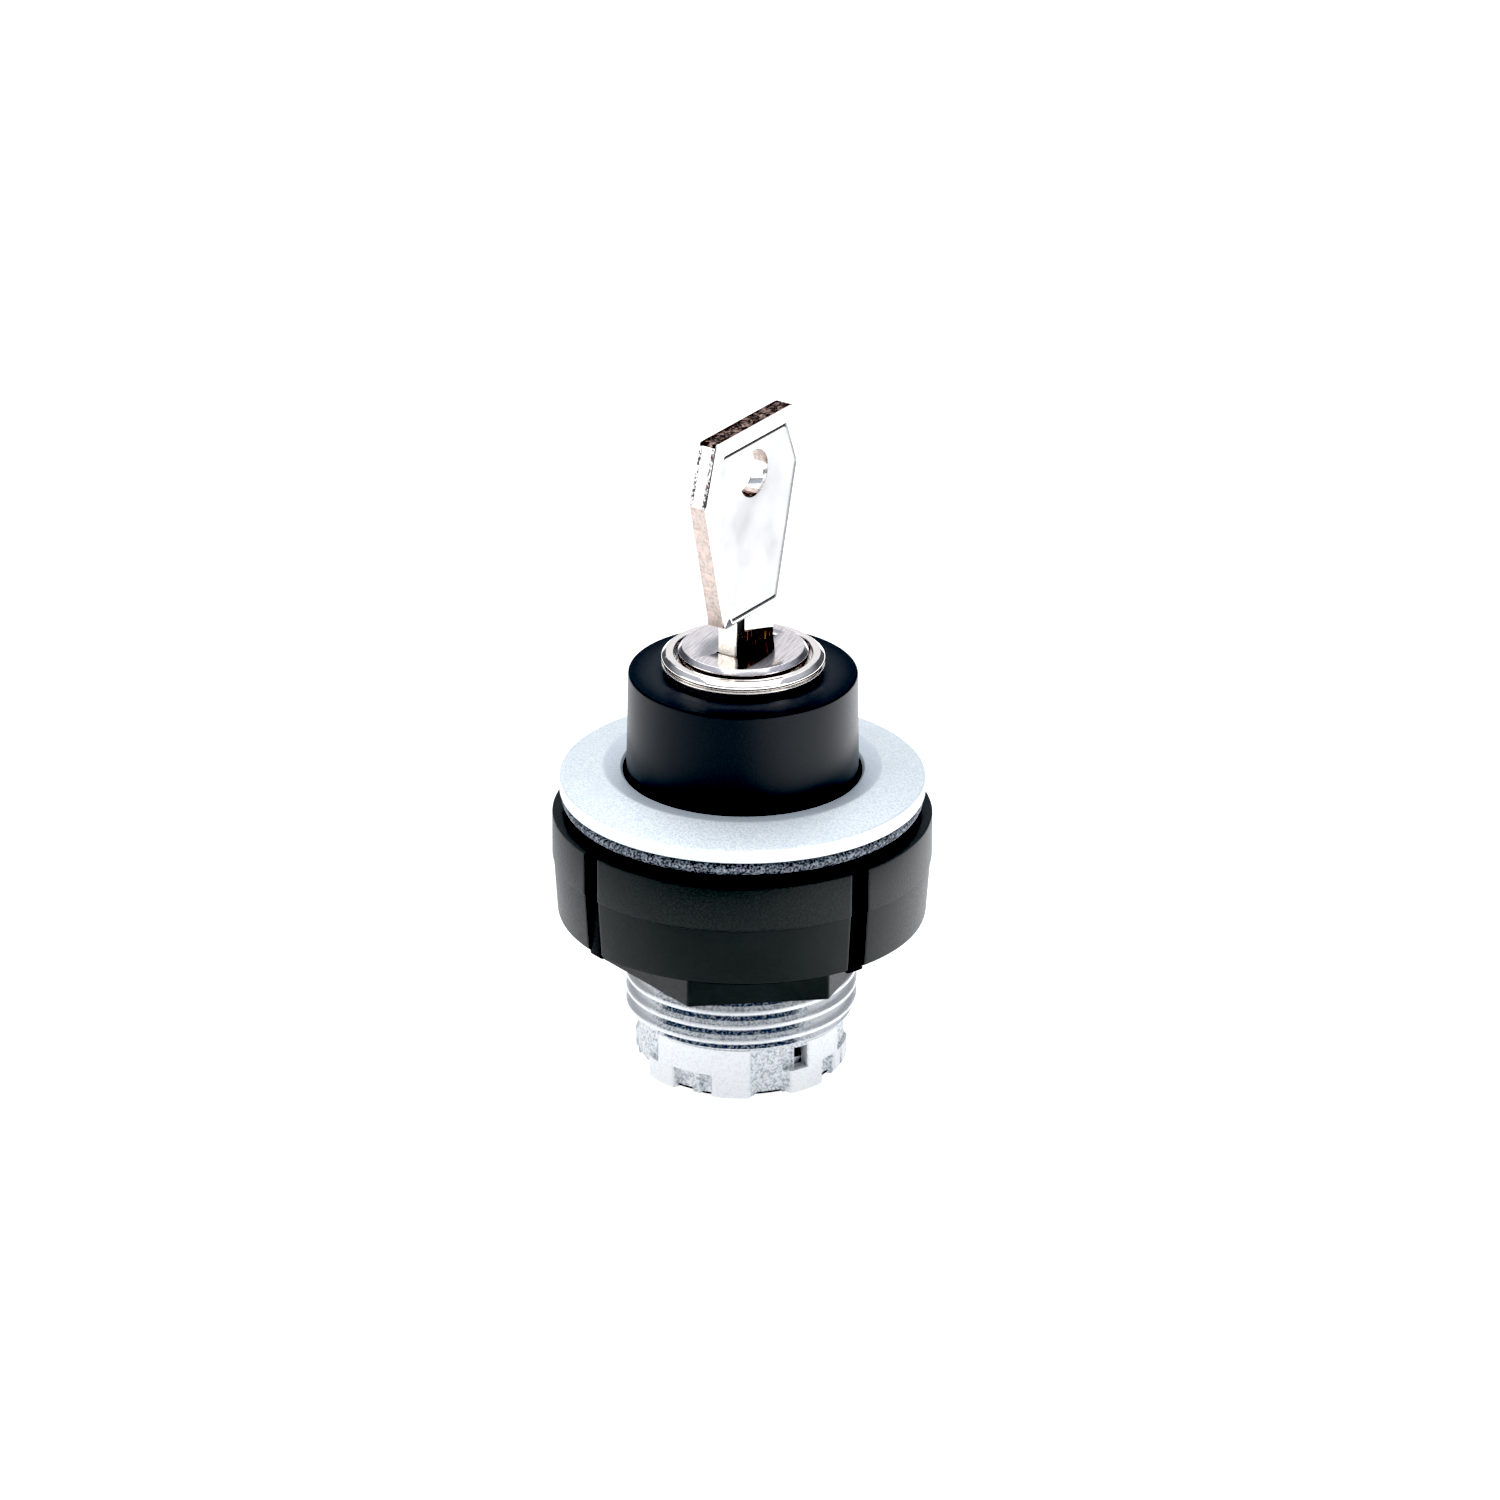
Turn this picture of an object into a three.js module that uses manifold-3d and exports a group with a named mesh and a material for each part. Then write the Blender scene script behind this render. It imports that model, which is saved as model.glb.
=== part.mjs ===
// Selector key switch, operating head only, for a round panel cut-out.
// A zinc body with an M22 x 1.5 thread carries a satin bezel, a rubber seal and a black clamp ring.
// A black holder in the body holds the lock, whose key turns a face cam that presses two plungers.
// Millimetres. +Z is the operator's side, and Z = 0 is the foot of the body. +Y is twelve o'clock.
import * as THREE from "three";
import { mergeVertices } from "three/addons/utils/BufferGeometryUtils.js";
import Module from "manifold-3d";

const wasm = await Module();
wasm.setup();

// ---- Driving dimensions ----
const BROAD = 48; // sides of the bezel, the seal and the ring
const FINE = 36; // sides of the body and the holder
const MEDIUM = 28; // sides of the lock
const SMALL = 12; // sides of pins and balls
const SLIVER = 0.004; // shorter edges are dropped
const SEAT = 0.1; // gap left between seated faces
const RUN = 0.15; // radial gap of a part that turns or slides

const THREAD = { major: 11, minor: 10.08, pitch: 1.5, low: 5.2, high: 22 };
const CROWN = { radius: 9.8, lug: 10.1, core: 9.3, bore: 8.6, low: 0.1, top: THREAD.low };
const HUB = { radius: 14.6, low: 24, high: 29.1, pocket: 11.3, pocketFloor: 25.6 };
const CAVITY = { radius: 8.3, step: 5.1, top: 13.9, webTop: 15.3, webHole: 4.4 };
const BEZEL = { radius: 17.3, hole: 11.3, low: 28, rim: 29.4, crest: 30.4, crestRadius: 13.1, lip: 30.25 };
const SEAL = { inner: 14.7, sleeve: 15.15, outer: 17, low: 26.4, sleeveLow: 23.4 };
const RING = { top: 25.8, parting: 21.4, low: 15.6, radius: 18, foot: 17.5, mouth: 16.5, floor: 17.4 };
const RING_HUB = { radius: 13.2, top: 21.6, bore: THREAD.major + RUN, flats: 23.2, hexLow: 10.8 };
const RING_SLOT = { width: 1.9, floor: 17.35, footLow: 15.3, count: 4 };
const RING_TURN = THREE.MathUtils.degToRad(-52); // where the ring stops when it is screwed up
const HOLDER = { top: 40, radius: 10.82, foot: 11.06, edge: 0.3, wall: 3, cavity: 9.3 };
const SPIGOT = { radius: 8.72, bore: 7.2, low: 15.5, top: 25.8, cavityFloor: 28.6 };
const STATOR = { radius: 6.6, low: 19.6, flange: 7.73, flangeTop: 42, recess: 6.5, recessFloor: 41 };
const ROTOR = { radius: 4.6, head: 6.15, face: 42.65, faceRadius: 5.95, low: 18, slotLow: 21.5 };
const LOCK_TURN = -34; // degrees from twelve o'clock to the key's bow at rest
const TANG = { width: 3.8, low: 11.6 };
const KEY = { thickness: 2, width: 6.4, offset: 0.4, tip: 22.6, bow: 45.95, shoulder: 59.2, top: 65.05 };
const BOW = { bottomHalf: 4.9, shoulderHalf: 8.15, topHalf: 6.4, holeRadius: 2.3, holeHeight: 60.15 };
const PANEL = { side: 1.3, top: 1.5, bottom: 0.45, depth: 0.15 }; // the sunk faces of the bow
const WAFERS = { count: 5, first: 25.6, spacing: 2.6, thickness: 0.9, halfWidth: 2.3, frame: 0.5 };
const CAM = { radius: 8.1, top: 13.2, high: 11.05, drop: 2.5, hub: 4.1, hubTop: 16.6, spigot: 2.5, spigotLow: 2.6 };
const PUSHER = { offset: 5.9, top: 10.9, head: 1.2, stem: 1.5, low: 2.9, ridge: 0.8, length: 3.8, width: 3.4 };
const PLATE = { radius: 8.45, low: 3.4, top: 5 };
const STOP = { radius: 0.7, offset: 6.9, angle: 325 };
const DETENT = { ball: 1, height: 10.7, angle: 60, depth: 0.4, springStart: 3.5 };
const CLIP = { groove: 8.95, low: 2.5, high: 3.2, inner: 7.6 };
const SNAP = { halfAngle: 14, inner: 5.9, outer: 7.15, barb: 7.9, low: 13.35 };
const TURN = 90; // degrees between the two switch positions

const rad = THREE.MathUtils.degToRad;

// ---- Solids ----

// A geometry as a manifold-3d solid, with its faces turned outwards.
function solid(geometry) {
  const bare = geometry.clone();
  bare.deleteAttribute("normal");
  bare.deleteAttribute("uv");
  const merged = mergeVertices(bare, 1e-4);
  const triVerts = new Uint32Array(merged.index.array);
  const p = merged.attributes.position;
  let volume = 0;
  const [a, b, c] = [new THREE.Vector3(), new THREE.Vector3(), new THREE.Vector3()];
  for (let i = 0; i < triVerts.length; i += 3) {
    a.fromBufferAttribute(p, triVerts[i]);
    b.fromBufferAttribute(p, triVerts[i + 1]);
    c.fromBufferAttribute(p, triVerts[i + 2]);
    volume += a.dot(b.cross(c));
  }
  if (volume < 0) {
    for (let i = 0; i < triVerts.length; i += 3) {
      [triVerts[i + 1], triVerts[i + 2]] = [triVerts[i + 2], triVerts[i + 1]];
    }
  }
  return new wasm.Manifold(new wasm.Mesh({ numProp: 3, vertProperties: p.array, triVerts }));
}

// A solid as an indexed three.js geometry, without the slivers that the booleans leave.
function geometryOf(made) {
  const mesh = made.simplify(SLIVER).getMesh();
  const geometry = new THREE.BufferGeometry();
  geometry.setAttribute("position", new THREE.BufferAttribute(mesh.vertProperties, 3));
  geometry.setIndex(new THREE.BufferAttribute(mesh.triVerts, 1));
  geometry.computeVertexNormals();
  return geometry;
}

// A closed outline of [radius, height] pairs turned about the Z axis.
function turned(outline, sides = FINE) {
  const closed = [...outline, outline[0]].map(([r, z]) => new THREE.Vector2(r, z));
  return solid(new THREE.LatheGeometry(closed, sides).rotateX(Math.PI / 2));
}

// A tube, or a rod where the inner radius is 0, between two heights.
function tube(inner, outer, low, high, sides = FINE) {
  return turned([[inner, low], [outer, low], [outer, high], [inner, high]], sides);
}

// A shape drawn in XY, raised from one height to another.
function raised(shape, low, high, curveSegments = 12) {
  const geometry = new THREE.ExtrudeGeometry(shape, { depth: high - low, bevelEnabled: false, curveSegments });
  return solid(geometry.translate(0, 0, low));
}

// A part of a ring between two angles in degrees.
function sector(inner, outer, from, to, low, high) {
  const shape = new THREE.Shape();
  shape.absarc(0, 0, outer, rad(from), rad(to), false);
  shape.absarc(0, 0, inner, rad(to), rad(from), true);
  return raised(shape, low, high, Math.max(3, Math.ceil((to - from) / 6)));
}

function box(x, y, z, cx, cy, cz) {
  return solid(new THREE.BoxGeometry(x, y, z).translate(cx, cy, cz));
}

// A rod lying along the X axis from one distance to another, at a height.
function crossRod(radius, from, to, height) {
  const geometry = new THREE.CylinderGeometry(radius, radius, to - from, SMALL);
  return solid(geometry.rotateZ(Math.PI / 2).translate((from + to) / 2, 0, height));
}

const turnedBy = (made, degrees) => made.rotate([0, 0, degrees]);

// A coil spring along +Z from the origin, of round wire.
function coil(radius, wire, length, turns) {
  const centre = new THREE.Curve();
  centre.getPoint = (t, target = new THREE.Vector3()) => {
    const angle = 2 * Math.PI * turns * t;
    const height = wire + (length - 2 * wire) * t;
    return target.set(radius * Math.cos(angle), radius * Math.sin(angle), height);
  };
  const section = new THREE.Shape();
  section.absarc(0, 0, wire, 0, 2 * Math.PI, false);
  const options = { steps: turns * 12, extrudePath: centre, curveSegments: 3 };
  return solid(new THREE.ExtrudeGeometry(section, options));
}

// ---- Body ----

// A rod with an external thread. It runs past both ends, and the body's outline trims it.
function threadedRod() {
  const sides = 24;
  const { major, minor, pitch, low, high } = THREAD;
  const steps = [[major, 0], [major, 0.14], [minor, 0.5], [minor, 0.64]]; // radius and share of a pitch
  const turns = Math.ceil((high - low) / pitch) + 2;
  const start = low - 1.5 * pitch;
  const points = [];
  const faces = [];
  for (let turn = 0; turn < turns; turn++) {
    for (const [radius, share] of steps) {
      for (let side = 0; side < sides; side++) {
        const angle = (2 * Math.PI * side) / sides;
        const height = start + pitch * (turn + share + side / sides);
        points.push(radius * Math.cos(angle), radius * Math.sin(angle), height);
      }
    }
  }
  const rows = turns * steps.length;
  const at = (row, side) => (side < sides ? row * sides + side : (row + steps.length) * sides + side - sides);
  for (let row = 0; row < rows - steps.length - 1; row++) {
    for (let side = 0; side < sides; side++) {
      const [a, b, c, d] = [at(row, side), at(row, side + 1), at(row + 1, side + 1), at(row + 1, side)];
      faces.push(a, b, c, a, c, d);
    }
  }
  const cap = (row, up) => {
    const centre = points.length / 3;
    points.push(0, 0, start + pitch * (row / steps.length + (up ? 1 : 0)));
    const rim = [];
    for (let side = 0; side <= sides; side++) rim.push(at(row, side));
    for (let back = steps.length - 1; back > 0; back--) rim.push(at(row + back, 0));
    rim.forEach((point, i) => {
      const next = rim[(i + 1) % rim.length];
      faces.push(...(up ? [centre, point, next] : [centre, next, point]));
    });
  };
  cap(0, false);
  cap(rows - steps.length - 1, true);
  const geometry = new THREE.BufferGeometry();
  geometry.setAttribute("position", new THREE.Float32BufferAttribute(points, 3));
  geometry.setIndex(faces);
  return solid(geometry);
}

// The lugs and notches that a contact carrier locks on to. Each half turn has the same set.
const CROWN_FACING = -90; // degrees, the middle of one half of the crown
const LUGS = [
  // from, to, low, high
  [-60.5, -39.5, 0, 2.4],
  [-52, 5.5, 2.3, CROWN.top],
  [-16.5, 5.5, 0, 2.4],
  [25, 50.5, 0, 2.6],
  [39, 66, 2.5, CROWN.top],
  [62, 88, 0.6, 2.6],
];
const NOTCHES = [
  // from, to, inner radius, low, high
  [-89, -60.5, CROWN.bore - 0.3, -1, 1.2],
  [-39.5, -28, CROWN.core, -1, 2.3],
  [-39.5, -28, CROWN.bore - 0.3, -1, 0.25],
  [-23.5, -16.5, CROWN.core, -1, 2.3],
  [5.5, 25, CROWN.core, -1, CROWN.top - 0.3],
  [5.5, 25, CROWN.bore - 0.3, -1, 0.3],
  [25, 31.5, CROWN.core, 2.6, CROWN.top - 0.3],
  [31.5, 39, CROWN.bore - 0.3, 2.6, 4.7],
  [50.5, 62, CROWN.core, -1, 2.4],
  [50.5, 62, CROWN.bore - 0.3, -1, 0.4],
  [69.5, 72, CROWN.core, 0.9, 2.3],
];

function threadedBody() {
  const { radius, bore } = CROWN;
  const outside = turned([
    [0, CROWN.low], [radius, CROWN.low], [radius, THREAD.low - 0.1], [THREAD.minor, THREAD.low],
    [THREAD.major + 0.1, THREAD.low + 1], [THREAD.major + 0.1, THREAD.high - 1], [THREAD.minor, THREAD.high],
    [THREAD.minor, HUB.low], [HUB.radius, HUB.low], [HUB.radius, HUB.high], [0, HUB.high],
  ]);
  const middle = tube(0, HUB.radius + 1, THREAD.low, THREAD.high);
  let body = outside.subtract(middle).add(outside.intersect(middle).intersect(threadedRod()));
  for (const half of [0, 180]) {
    const facing = CROWN_FACING + half;
    for (const [from, to, low, high] of LUGS) {
      body = body.add(sector(bore + 0.3, CROWN.lug, facing + from, facing + to, low, high - 0.05));
    }
    for (const [from, to, inner, low, high] of NOTCHES) {
      body = body.subtract(sector(inner, CROWN.lug + 1, facing + from, facing + to, low, high));
    }
  }
  const inside = turned([
    [0, -1], [bore, -1], [bore, CAVITY.step], [CAVITY.radius, CAVITY.step], [CAVITY.radius, CAVITY.top],
    [CAVITY.webHole, CAVITY.top], [CAVITY.webHole, CAVITY.webTop], [SPIGOT.radius + RUN, CAVITY.webTop],
    [SPIGOT.radius + RUN, HUB.pocketFloor], [HUB.pocket, HUB.pocketFloor], [HUB.pocket, HUB.high + 1],
    [0, HUB.high + 1],
  ]);
  body = body.subtract(inside);
  body = body.subtract(tube(bore - 1, CLIP.groove, CLIP.low - 0.1, CLIP.high + 0.1));
  for (const angle of [DETENT.angle, DETENT.angle + TURN]) {
    const seat = tube(0, DETENT.ball, DETENT.height - 2, DETENT.height + 2, SMALL);
    const reach = CAVITY.radius - DETENT.ball + DETENT.depth;
    body = body.subtract(turnedBy(seat.translate([reach, 0, 0]), angle));
  }
  for (const side of [0, 180]) {
    body = body.subtract(turnedBy(sector(5.1, 7.3, -SNAP.halfAngle - 3, SNAP.halfAngle + 3, 13, 16), side));
  }
  return body.subtract(turnedBy(tube(0, STOP.radius + 0.05, 13, 16, SMALL).translate([STOP.offset, 0, 0]), STOP.angle));
}

// ---- Front ----

function bezel() {
  const { radius, hole, low, rim, crest, crestRadius, lip } = BEZEL;
  return turned([
    [HUB.radius + SEAT, low], [radius - 0.15, low], [radius, low + 0.15], [radius, rim - 0.15],
    [radius - 0.15, rim], [crestRadius + 0.3, crest - 0.05], [crestRadius - 0.2, crest], [hole + 0.1, lip],
    [hole, lip - 0.15], [hole, HUB.high + SEAT], [HUB.radius + SEAT, HUB.high + SEAT],
  ], BROAD);
}

// The seal has a flange under the bezel and a sleeve that fills the panel's cut-out.
function frontSeal() {
  const { inner, sleeve, outer, low, sleeveLow } = SEAL;
  const top = BEZEL.low - SEAT / 2;
  return turned([
    [inner, sleeveLow], [sleeve, sleeveLow], [sleeve, low], [outer - 0.6, low], [outer, low + 0.4],
    [outer, top], [inner, top],
  ], BROAD);
}

// ---- Clamp ring ----

function clampRing() {
  const { top, parting, low, radius, foot, mouth, floor } = RING;
  const hub = RING_HUB;
  const { width: slotWidth, floor: slotFloor, footLow, count } = RING_SLOT;
  const shell = turned([
    [hub.bore, low], [foot - 0.2, low], [foot, low + 0.2], [radius - 0.1, parting], [radius, parting + 0.05],
    [radius, top - 0.1], [radius - 0.1, top], [mouth, top], [mouth, floor], [hub.radius, floor],
    [hub.radius, hub.top], [hub.bore, hub.top],
  ], BROAD);
  const corner = hub.flats / Math.sqrt(3);
  const hexagon = new THREE.Shape();
  for (let i = 0; i < 6; i++) {
    const angle = (i * Math.PI) / 3;
    hexagon[i ? "lineTo" : "moveTo"](corner * Math.cos(angle), corner * Math.sin(angle));
  }
  let ring = shell.add(raised(hexagon, hub.hexLow, low + 0.5).subtract(tube(0, hub.bore, 0, 20, BROAD)));
  for (let i = 0; i < count; i++) {
    const cut = box(2, slotWidth, 14, slotFloor + 1, 0, 20.5);
    const tab = box(slotFloor - mouth, slotWidth, 1, (slotFloor + mouth) / 2, 0, footLow + 0.5);
    const turn = (i * 360) / count;
    ring = ring.subtract(turnedBy(cut, turn)).add(turnedBy(tab, turn));
  }
  return ring;
}

// ---- Holder ----

function keyHolder() {
  const { top, radius, foot, edge, wall, cavity } = HOLDER;
  let holder = turned([
    [SPIGOT.bore, SPIGOT.low], [SPIGOT.radius, SPIGOT.low], [SPIGOT.radius, 20.6], [SPIGOT.radius - 0.9, 20.6],
    [SPIGOT.radius - 0.9, 22.4], [SPIGOT.radius, 22.4], [SPIGOT.radius, SPIGOT.top], [foot, SPIGOT.top],
    [radius, top - edge], [radius - 0.1, top - 0.1], [radius - edge, top], [STATOR.radius + RUN, top],
    [STATOR.radius + RUN, top - wall], [cavity, top - wall], [cavity, SPIGOT.cavityFloor + 1.4],
    [SPIGOT.bore, SPIGOT.cavityFloor],
  ]);
  for (const side of [0, 180]) {
    const leg = sector(SNAP.inner, SNAP.outer, -SNAP.halfAngle, SNAP.halfAngle, SNAP.low, 18);
    const barb = sector(SNAP.inner, SNAP.barb, -SNAP.halfAngle, SNAP.halfAngle, SNAP.low, CAVITY.top - SEAT);
    const root = sector(SNAP.inner, SPIGOT.bore + 0.3, -SNAP.halfAngle, SNAP.halfAngle, 15.6, 18);
    holder = holder.add(turnedBy(leg.add(barb).add(root), side));
  }
  return holder;
}

function oRing(radius, section, height) {
  const geometry = new THREE.TorusGeometry(radius, section, 6, 40);
  return solid(geometry.translate(0, 0, height));
}

// ---- Lock ----

function lockStator() {
  const { radius, low, flange, flangeTop, recess, recessFloor } = STATOR;
  const seat = HOLDER.top + SEAT;
  const bore = ROTOR.radius + RUN;
  let stator = turned([
    [bore, low], [radius - 0.3, low], [radius, low + 0.3], [radius, seat], [flange, seat],
    [flange, flangeTop - 0.5], [flange - 0.15, flangeTop - 0.15], [flange - 0.5, flangeTop],
    [recess, flangeTop], [recess, recessFloor], [bore, recessFloor],
  ], MEDIUM);
  return stator.subtract(turnedBy(box(5, 11.4, 15.5, 0, 0, 31.3), LOCK_TURN));
}

function lockGasket() {
  return tube(STATOR.radius + RUN, 8.4, HOLDER.top - HOLDER.wall - 0.5, HOLDER.top - HOLDER.wall - 0.05, MEDIUM);
}

function lockNut() {
  const high = HOLDER.top - HOLDER.wall - 0.6;
  const corner = 9.1;
  const hexagon = new THREE.Shape();
  for (let i = 0; i < 6; i++) {
    const angle = (i * Math.PI) / 3;
    hexagon[i ? "lineTo" : "moveTo"](corner * Math.cos(angle), corner * Math.sin(angle));
  }
  return raised(hexagon, high - 2.6, high).subtract(tube(0, STATOR.radius + 0.05, 0, 50, MEDIUM));
}

function lockRotor() {
  const { radius, head, face, faceRadius, low, slotLow } = ROTOR;
  const headFloor = STATOR.recessFloor + SEAT;
  let rotor = turned([
    [0, low], [radius - 0.3, low], [radius, low + 0.3], [radius, 18.6], [radius - 0.7, 18.6], [radius - 0.7, 19.4],
    [radius, 19.4], [radius, headFloor], [head, headFloor], [head, face - 0.5], [faceRadius, face], [0, face],
  ], MEDIUM);
  rotor = rotor.add(box(TANG.width, TANG.width, low - TANG.low + 0.5, 0, 0, (low + 0.5 + TANG.low) / 2));
  rotor = rotor.subtract(box(KEY.thickness + 0.25, KEY.width + 0.3, 30, 0, KEY.offset, slotLow + 15));
  for (let i = 0; i < WAFERS.count; i++) {
    const height = WAFERS.first + i * WAFERS.spacing;
    rotor = rotor.subtract(box(2 * WAFERS.halfWidth + 0.2, 12, WAFERS.thickness + 0.2, 0, 0, height));
  }
  return rotor;
}

function wafer(height) {
  const { thickness, halfWidth, frame } = WAFERS;
  const plate = box(2 * halfWidth, 10, thickness, 0, 0, height);
  const opening = box(KEY.thickness + 2 * frame, KEY.width + 0.5, 2, 0, KEY.offset, height);
  return plate.intersect(tube(0, ROTOR.radius - 0.05, height - 1, height + 1, MEDIUM)).subtract(opening);
}

function rotorClip() {
  const ring = tube(ROTOR.radius - 0.65, 5.9, 18.75, 19.25, MEDIUM);
  return ring.subtract(box(8, 5, 3, 5, 0, 19));
}

// ---- Key ----

// The bow and blade are one stamping. It stands in the YZ plane, with its thickness along X.
function key() {
  const { thickness, width, tip, bow, shoulder, top } = KEY;
  const { bottomHalf, shoulderHalf, topHalf, holeRadius, holeHeight } = BOW;
  const slab = (shape, depth) => {
    const geometry = new THREE.ExtrudeGeometry(shape, { depth, bevelEnabled: false, curveSegments: 8 });
    return solid(geometry.translate(0, 0, -depth / 2).rotateX(Math.PI / 2).rotateZ(Math.PI / 2));
  };
  const outline = (side, above, below) => {
    const shape = new THREE.Shape();
    const points = [
      [bottomHalf - side, bow + below], [shoulderHalf - side, shoulder], [topHalf - side, top - above],
    ];
    shape.moveTo(...points[0]);
    shape.lineTo(...points[1]);
    shape.lineTo(...points[2]);
    points.reverse().forEach(([y, z]) => shape.lineTo(-y, z));
    return shape;
  };
  const whole = outline(0, 0, 0);
  whole.holes.push(new THREE.Path().absarc(0, holeHeight, holeRadius, 0, 2 * Math.PI, true));
  const blade = new THREE.Shape();
  const half = width / 2;
  const cuts = [0.7, 0.3, 0.9, 0.5, 0.3];
  blade.moveTo(-half, bow + 1);
  blade.lineTo(-half, tip + 1.6);
  blade.lineTo(-half + 1.8, tip);
  blade.lineTo(half - 1.8, tip);
  blade.lineTo(half, tip + 1.6);
  cuts.forEach((depth, i) => {
    const height = WAFERS.first + i * WAFERS.spacing;
    blade.lineTo(half, height - 0.3 - depth);
    blade.lineTo(half - depth, height - 0.3);
    blade.lineTo(half - depth, height + 0.3);
    blade.lineTo(half, height + 0.3 + depth);
  });
  blade.lineTo(half, bow + 1);
  let made = slab(whole, thickness).add(slab(blade, thickness));
  for (const side of [-1, 1]) {
    const offset = side * (thickness / 2 + 0.5 - PANEL.depth);
    made = made.subtract(slab(outline(PANEL.side, PANEL.top, PANEL.bottom), 1).translate([offset, 0, 0]));
  }
  // A shallow groove is milled beside the blade's plain edge, on the front face.
  made = made.subtract(box(1, 1.3, 26, thickness / 2 + 0.38, -half + 0.9, bow - 13));
  return made.translate([0, KEY.offset, 0]);
}

// ---- Switching parts ----

// The height of the cam's lower face, by clockwise angle in degrees: it falls through a quarter turn, twice.
function camFace(angle) {
  const { high, drop } = CAM;
  const local = ((angle % 180) + 180) % 180;
  return high - drop * Math.min(local / TURN, 1);
}

// The cam's drum, with a ramped lower face between two radii.
function camDrum() {
  const inner = 3;
  const steps = 60;
  const lowEnd = 150; // degrees, where each low land ends
  const points = [];
  const faces = [];
  const angles = [];
  for (let i = 0; i < steps; i++) angles.push((i * 360) / steps);
  const section = (angle, height) => {
    const [c, s] = [Math.cos(rad(-angle)), Math.sin(rad(-angle))];
    const index = points.length / 3;
    points.push(inner * c, inner * s, height, CAM.radius * c, CAM.radius * s, height);
    points.push(CAM.radius * c, CAM.radius * s, CAM.top, inner * c, inner * s, CAM.top);
    return index;
  };
  const sections = [];
  for (const angle of angles) {
    const local = angle % 180;
    if (local > lowEnd) {
      sections.push(section(angle, CAM.high));
      continue;
    }
    sections.push(section(angle, camFace(angle)));
    if (local === lowEnd) sections.push(section(angle + 0.5, CAM.high));
  }
  sections.forEach((a, i) => {
    const b = sections[(i + 1) % sections.length];
    for (let k = 0; k < 4; k++) {
      const next = (k + 1) % 4;
      faces.push(a + k, b + k, b + next, a + k, b + next, a + next);
    }
  });
  const geometry = new THREE.BufferGeometry();
  geometry.setAttribute("position", new THREE.Float32BufferAttribute(points, 3));
  geometry.setIndex(faces);
  return solid(geometry);
}

function switchingCam() {
  const { spigot, spigotLow, hub, hubTop, top, high, drop } = CAM;
  let cam = camDrum().add(tube(0, 3.2, high - drop, top, MEDIUM));
  cam = cam.add(tube(0, spigot, spigotLow, top, 24)).add(tube(0, hub, top - 1, hubTop, MEDIUM));
  const socket = box(TANG.width + 0.2, TANG.width + 0.2, 8, 0, 0, TANG.low - 0.2 + 4);
  cam = cam.subtract(turnedBy(socket, LOCK_TURN));
  const pinHalf = THREE.MathUtils.radToDeg((STOP.radius + 0.1) / STOP.offset);
  const slotFrom = STOP.angle - TURN - pinHalf;
  const slotTo = STOP.angle + pinHalf;
  const slot = sector(STOP.offset - 0.85, STOP.offset + 0.85, slotFrom, slotTo, top - 1.25, top + 1);
  cam = cam.subtract(slot);
  const bore = crossRod(DETENT.ball + 0.1, DETENT.springStart - 0.1, 10, DETENT.height);
  return cam.subtract(turnedBy(bore, DETENT.angle));
}

function pusher() {
  const { top, head, stem, low, ridge, length, width } = PUSHER;
  const flat = top - 0.45;
  const plate = box(length, width, flat - (top - head), 0, 0, (flat + top - head) / 2);
  const crest = crossRod(ridge, -length / 2, length / 2, top - ridge);
  const crestTop = crest.intersect(box(10, 10, 2, 0, 0, top - head + 1.05));
  return plate.add(crestTop).add(tube(0, stem, low, flat, SMALL));
}

function guidePlate() {
  const { radius, low, top } = PLATE;
  let plate = tube(0, radius, low, top);
  plate = plate.subtract(tube(0, CAM.spigot + RUN, 0, 10, 24));
  for (const side of [-1, 1]) {
    plate = plate.subtract(tube(0, PUSHER.stem + RUN, 0, 10, SMALL).translate([side * PUSHER.offset, 0, 0]));
  }
  return plate;
}

function plateClip() {
  const ring = tube(CLIP.inner, CLIP.groove - 0.1, CLIP.low, CLIP.high);
  return ring.subtract(sector(7, 10, 75, 105, 2, 4));
}

function thrustWasher() {
  return tube(CAM.hub + RUN, 5.8, CAM.top + 0.1, CAVITY.top - 0.1, MEDIUM);
}

function stopPin() {
  const pin = tube(0, STOP.radius - 0.02, CAM.top - 1.1, CAVITY.webTop - 0.1, SMALL);
  return turnedBy(pin.translate([STOP.offset, 0, 0]), STOP.angle);
}

function detentBall() {
  const reach = CAVITY.radius - 0.06 - DETENT.ball;
  return turnedBy(solid(new THREE.SphereGeometry(DETENT.ball, 12, 8)).translate([reach, 0, DETENT.height]), DETENT.angle);
}

function detentSpring() {
  const length = CAVITY.radius - 0.06 - 2 * DETENT.ball - DETENT.springStart - 0.1;
  const spring = coil(0.62, 0.2, length, 4).rotate([0, 90, 0]);
  return turnedBy(spring.translate([DETENT.springStart, 0, DETENT.height]), DETENT.angle);
}

function pusherSpring() {
  const free = PUSHER.top - PUSHER.head - PLATE.top - 0.2;
  return coil(1.95, 0.22, free, 4).translate([0, 0, PLATE.top + 0.1]);
}

// ---- Materials ----
const look = (color, roughness, metalness) => new THREE.MeshStandardMaterial({ color, roughness, metalness });
const zinc = look(0xd9dde0, 0.45, 1);
const satinChrome = look(0xcfd8da, 0.35, 1);
const nickel = look(0xe8e2d8, 0.15, 1);
const steel = look(0xb9bcc0, 0.3, 1);
const brass = look(0xc9a659, 0.35, 1);
const blackPlastic = look(0x17191c, 0.5, 0);
const rubber = look(0x101112, 0.85, 0);
const whitePlastic = look(0xe9e6dc, 0.5, 0);

// ---- Assembly ----
const head = new THREE.Group();

function place(name, made, material, parent = head) {
  const mesh = new THREE.Mesh(geometryOf(made), material);
  mesh.name = name;
  parent.add(mesh);
  return mesh;
}

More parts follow.
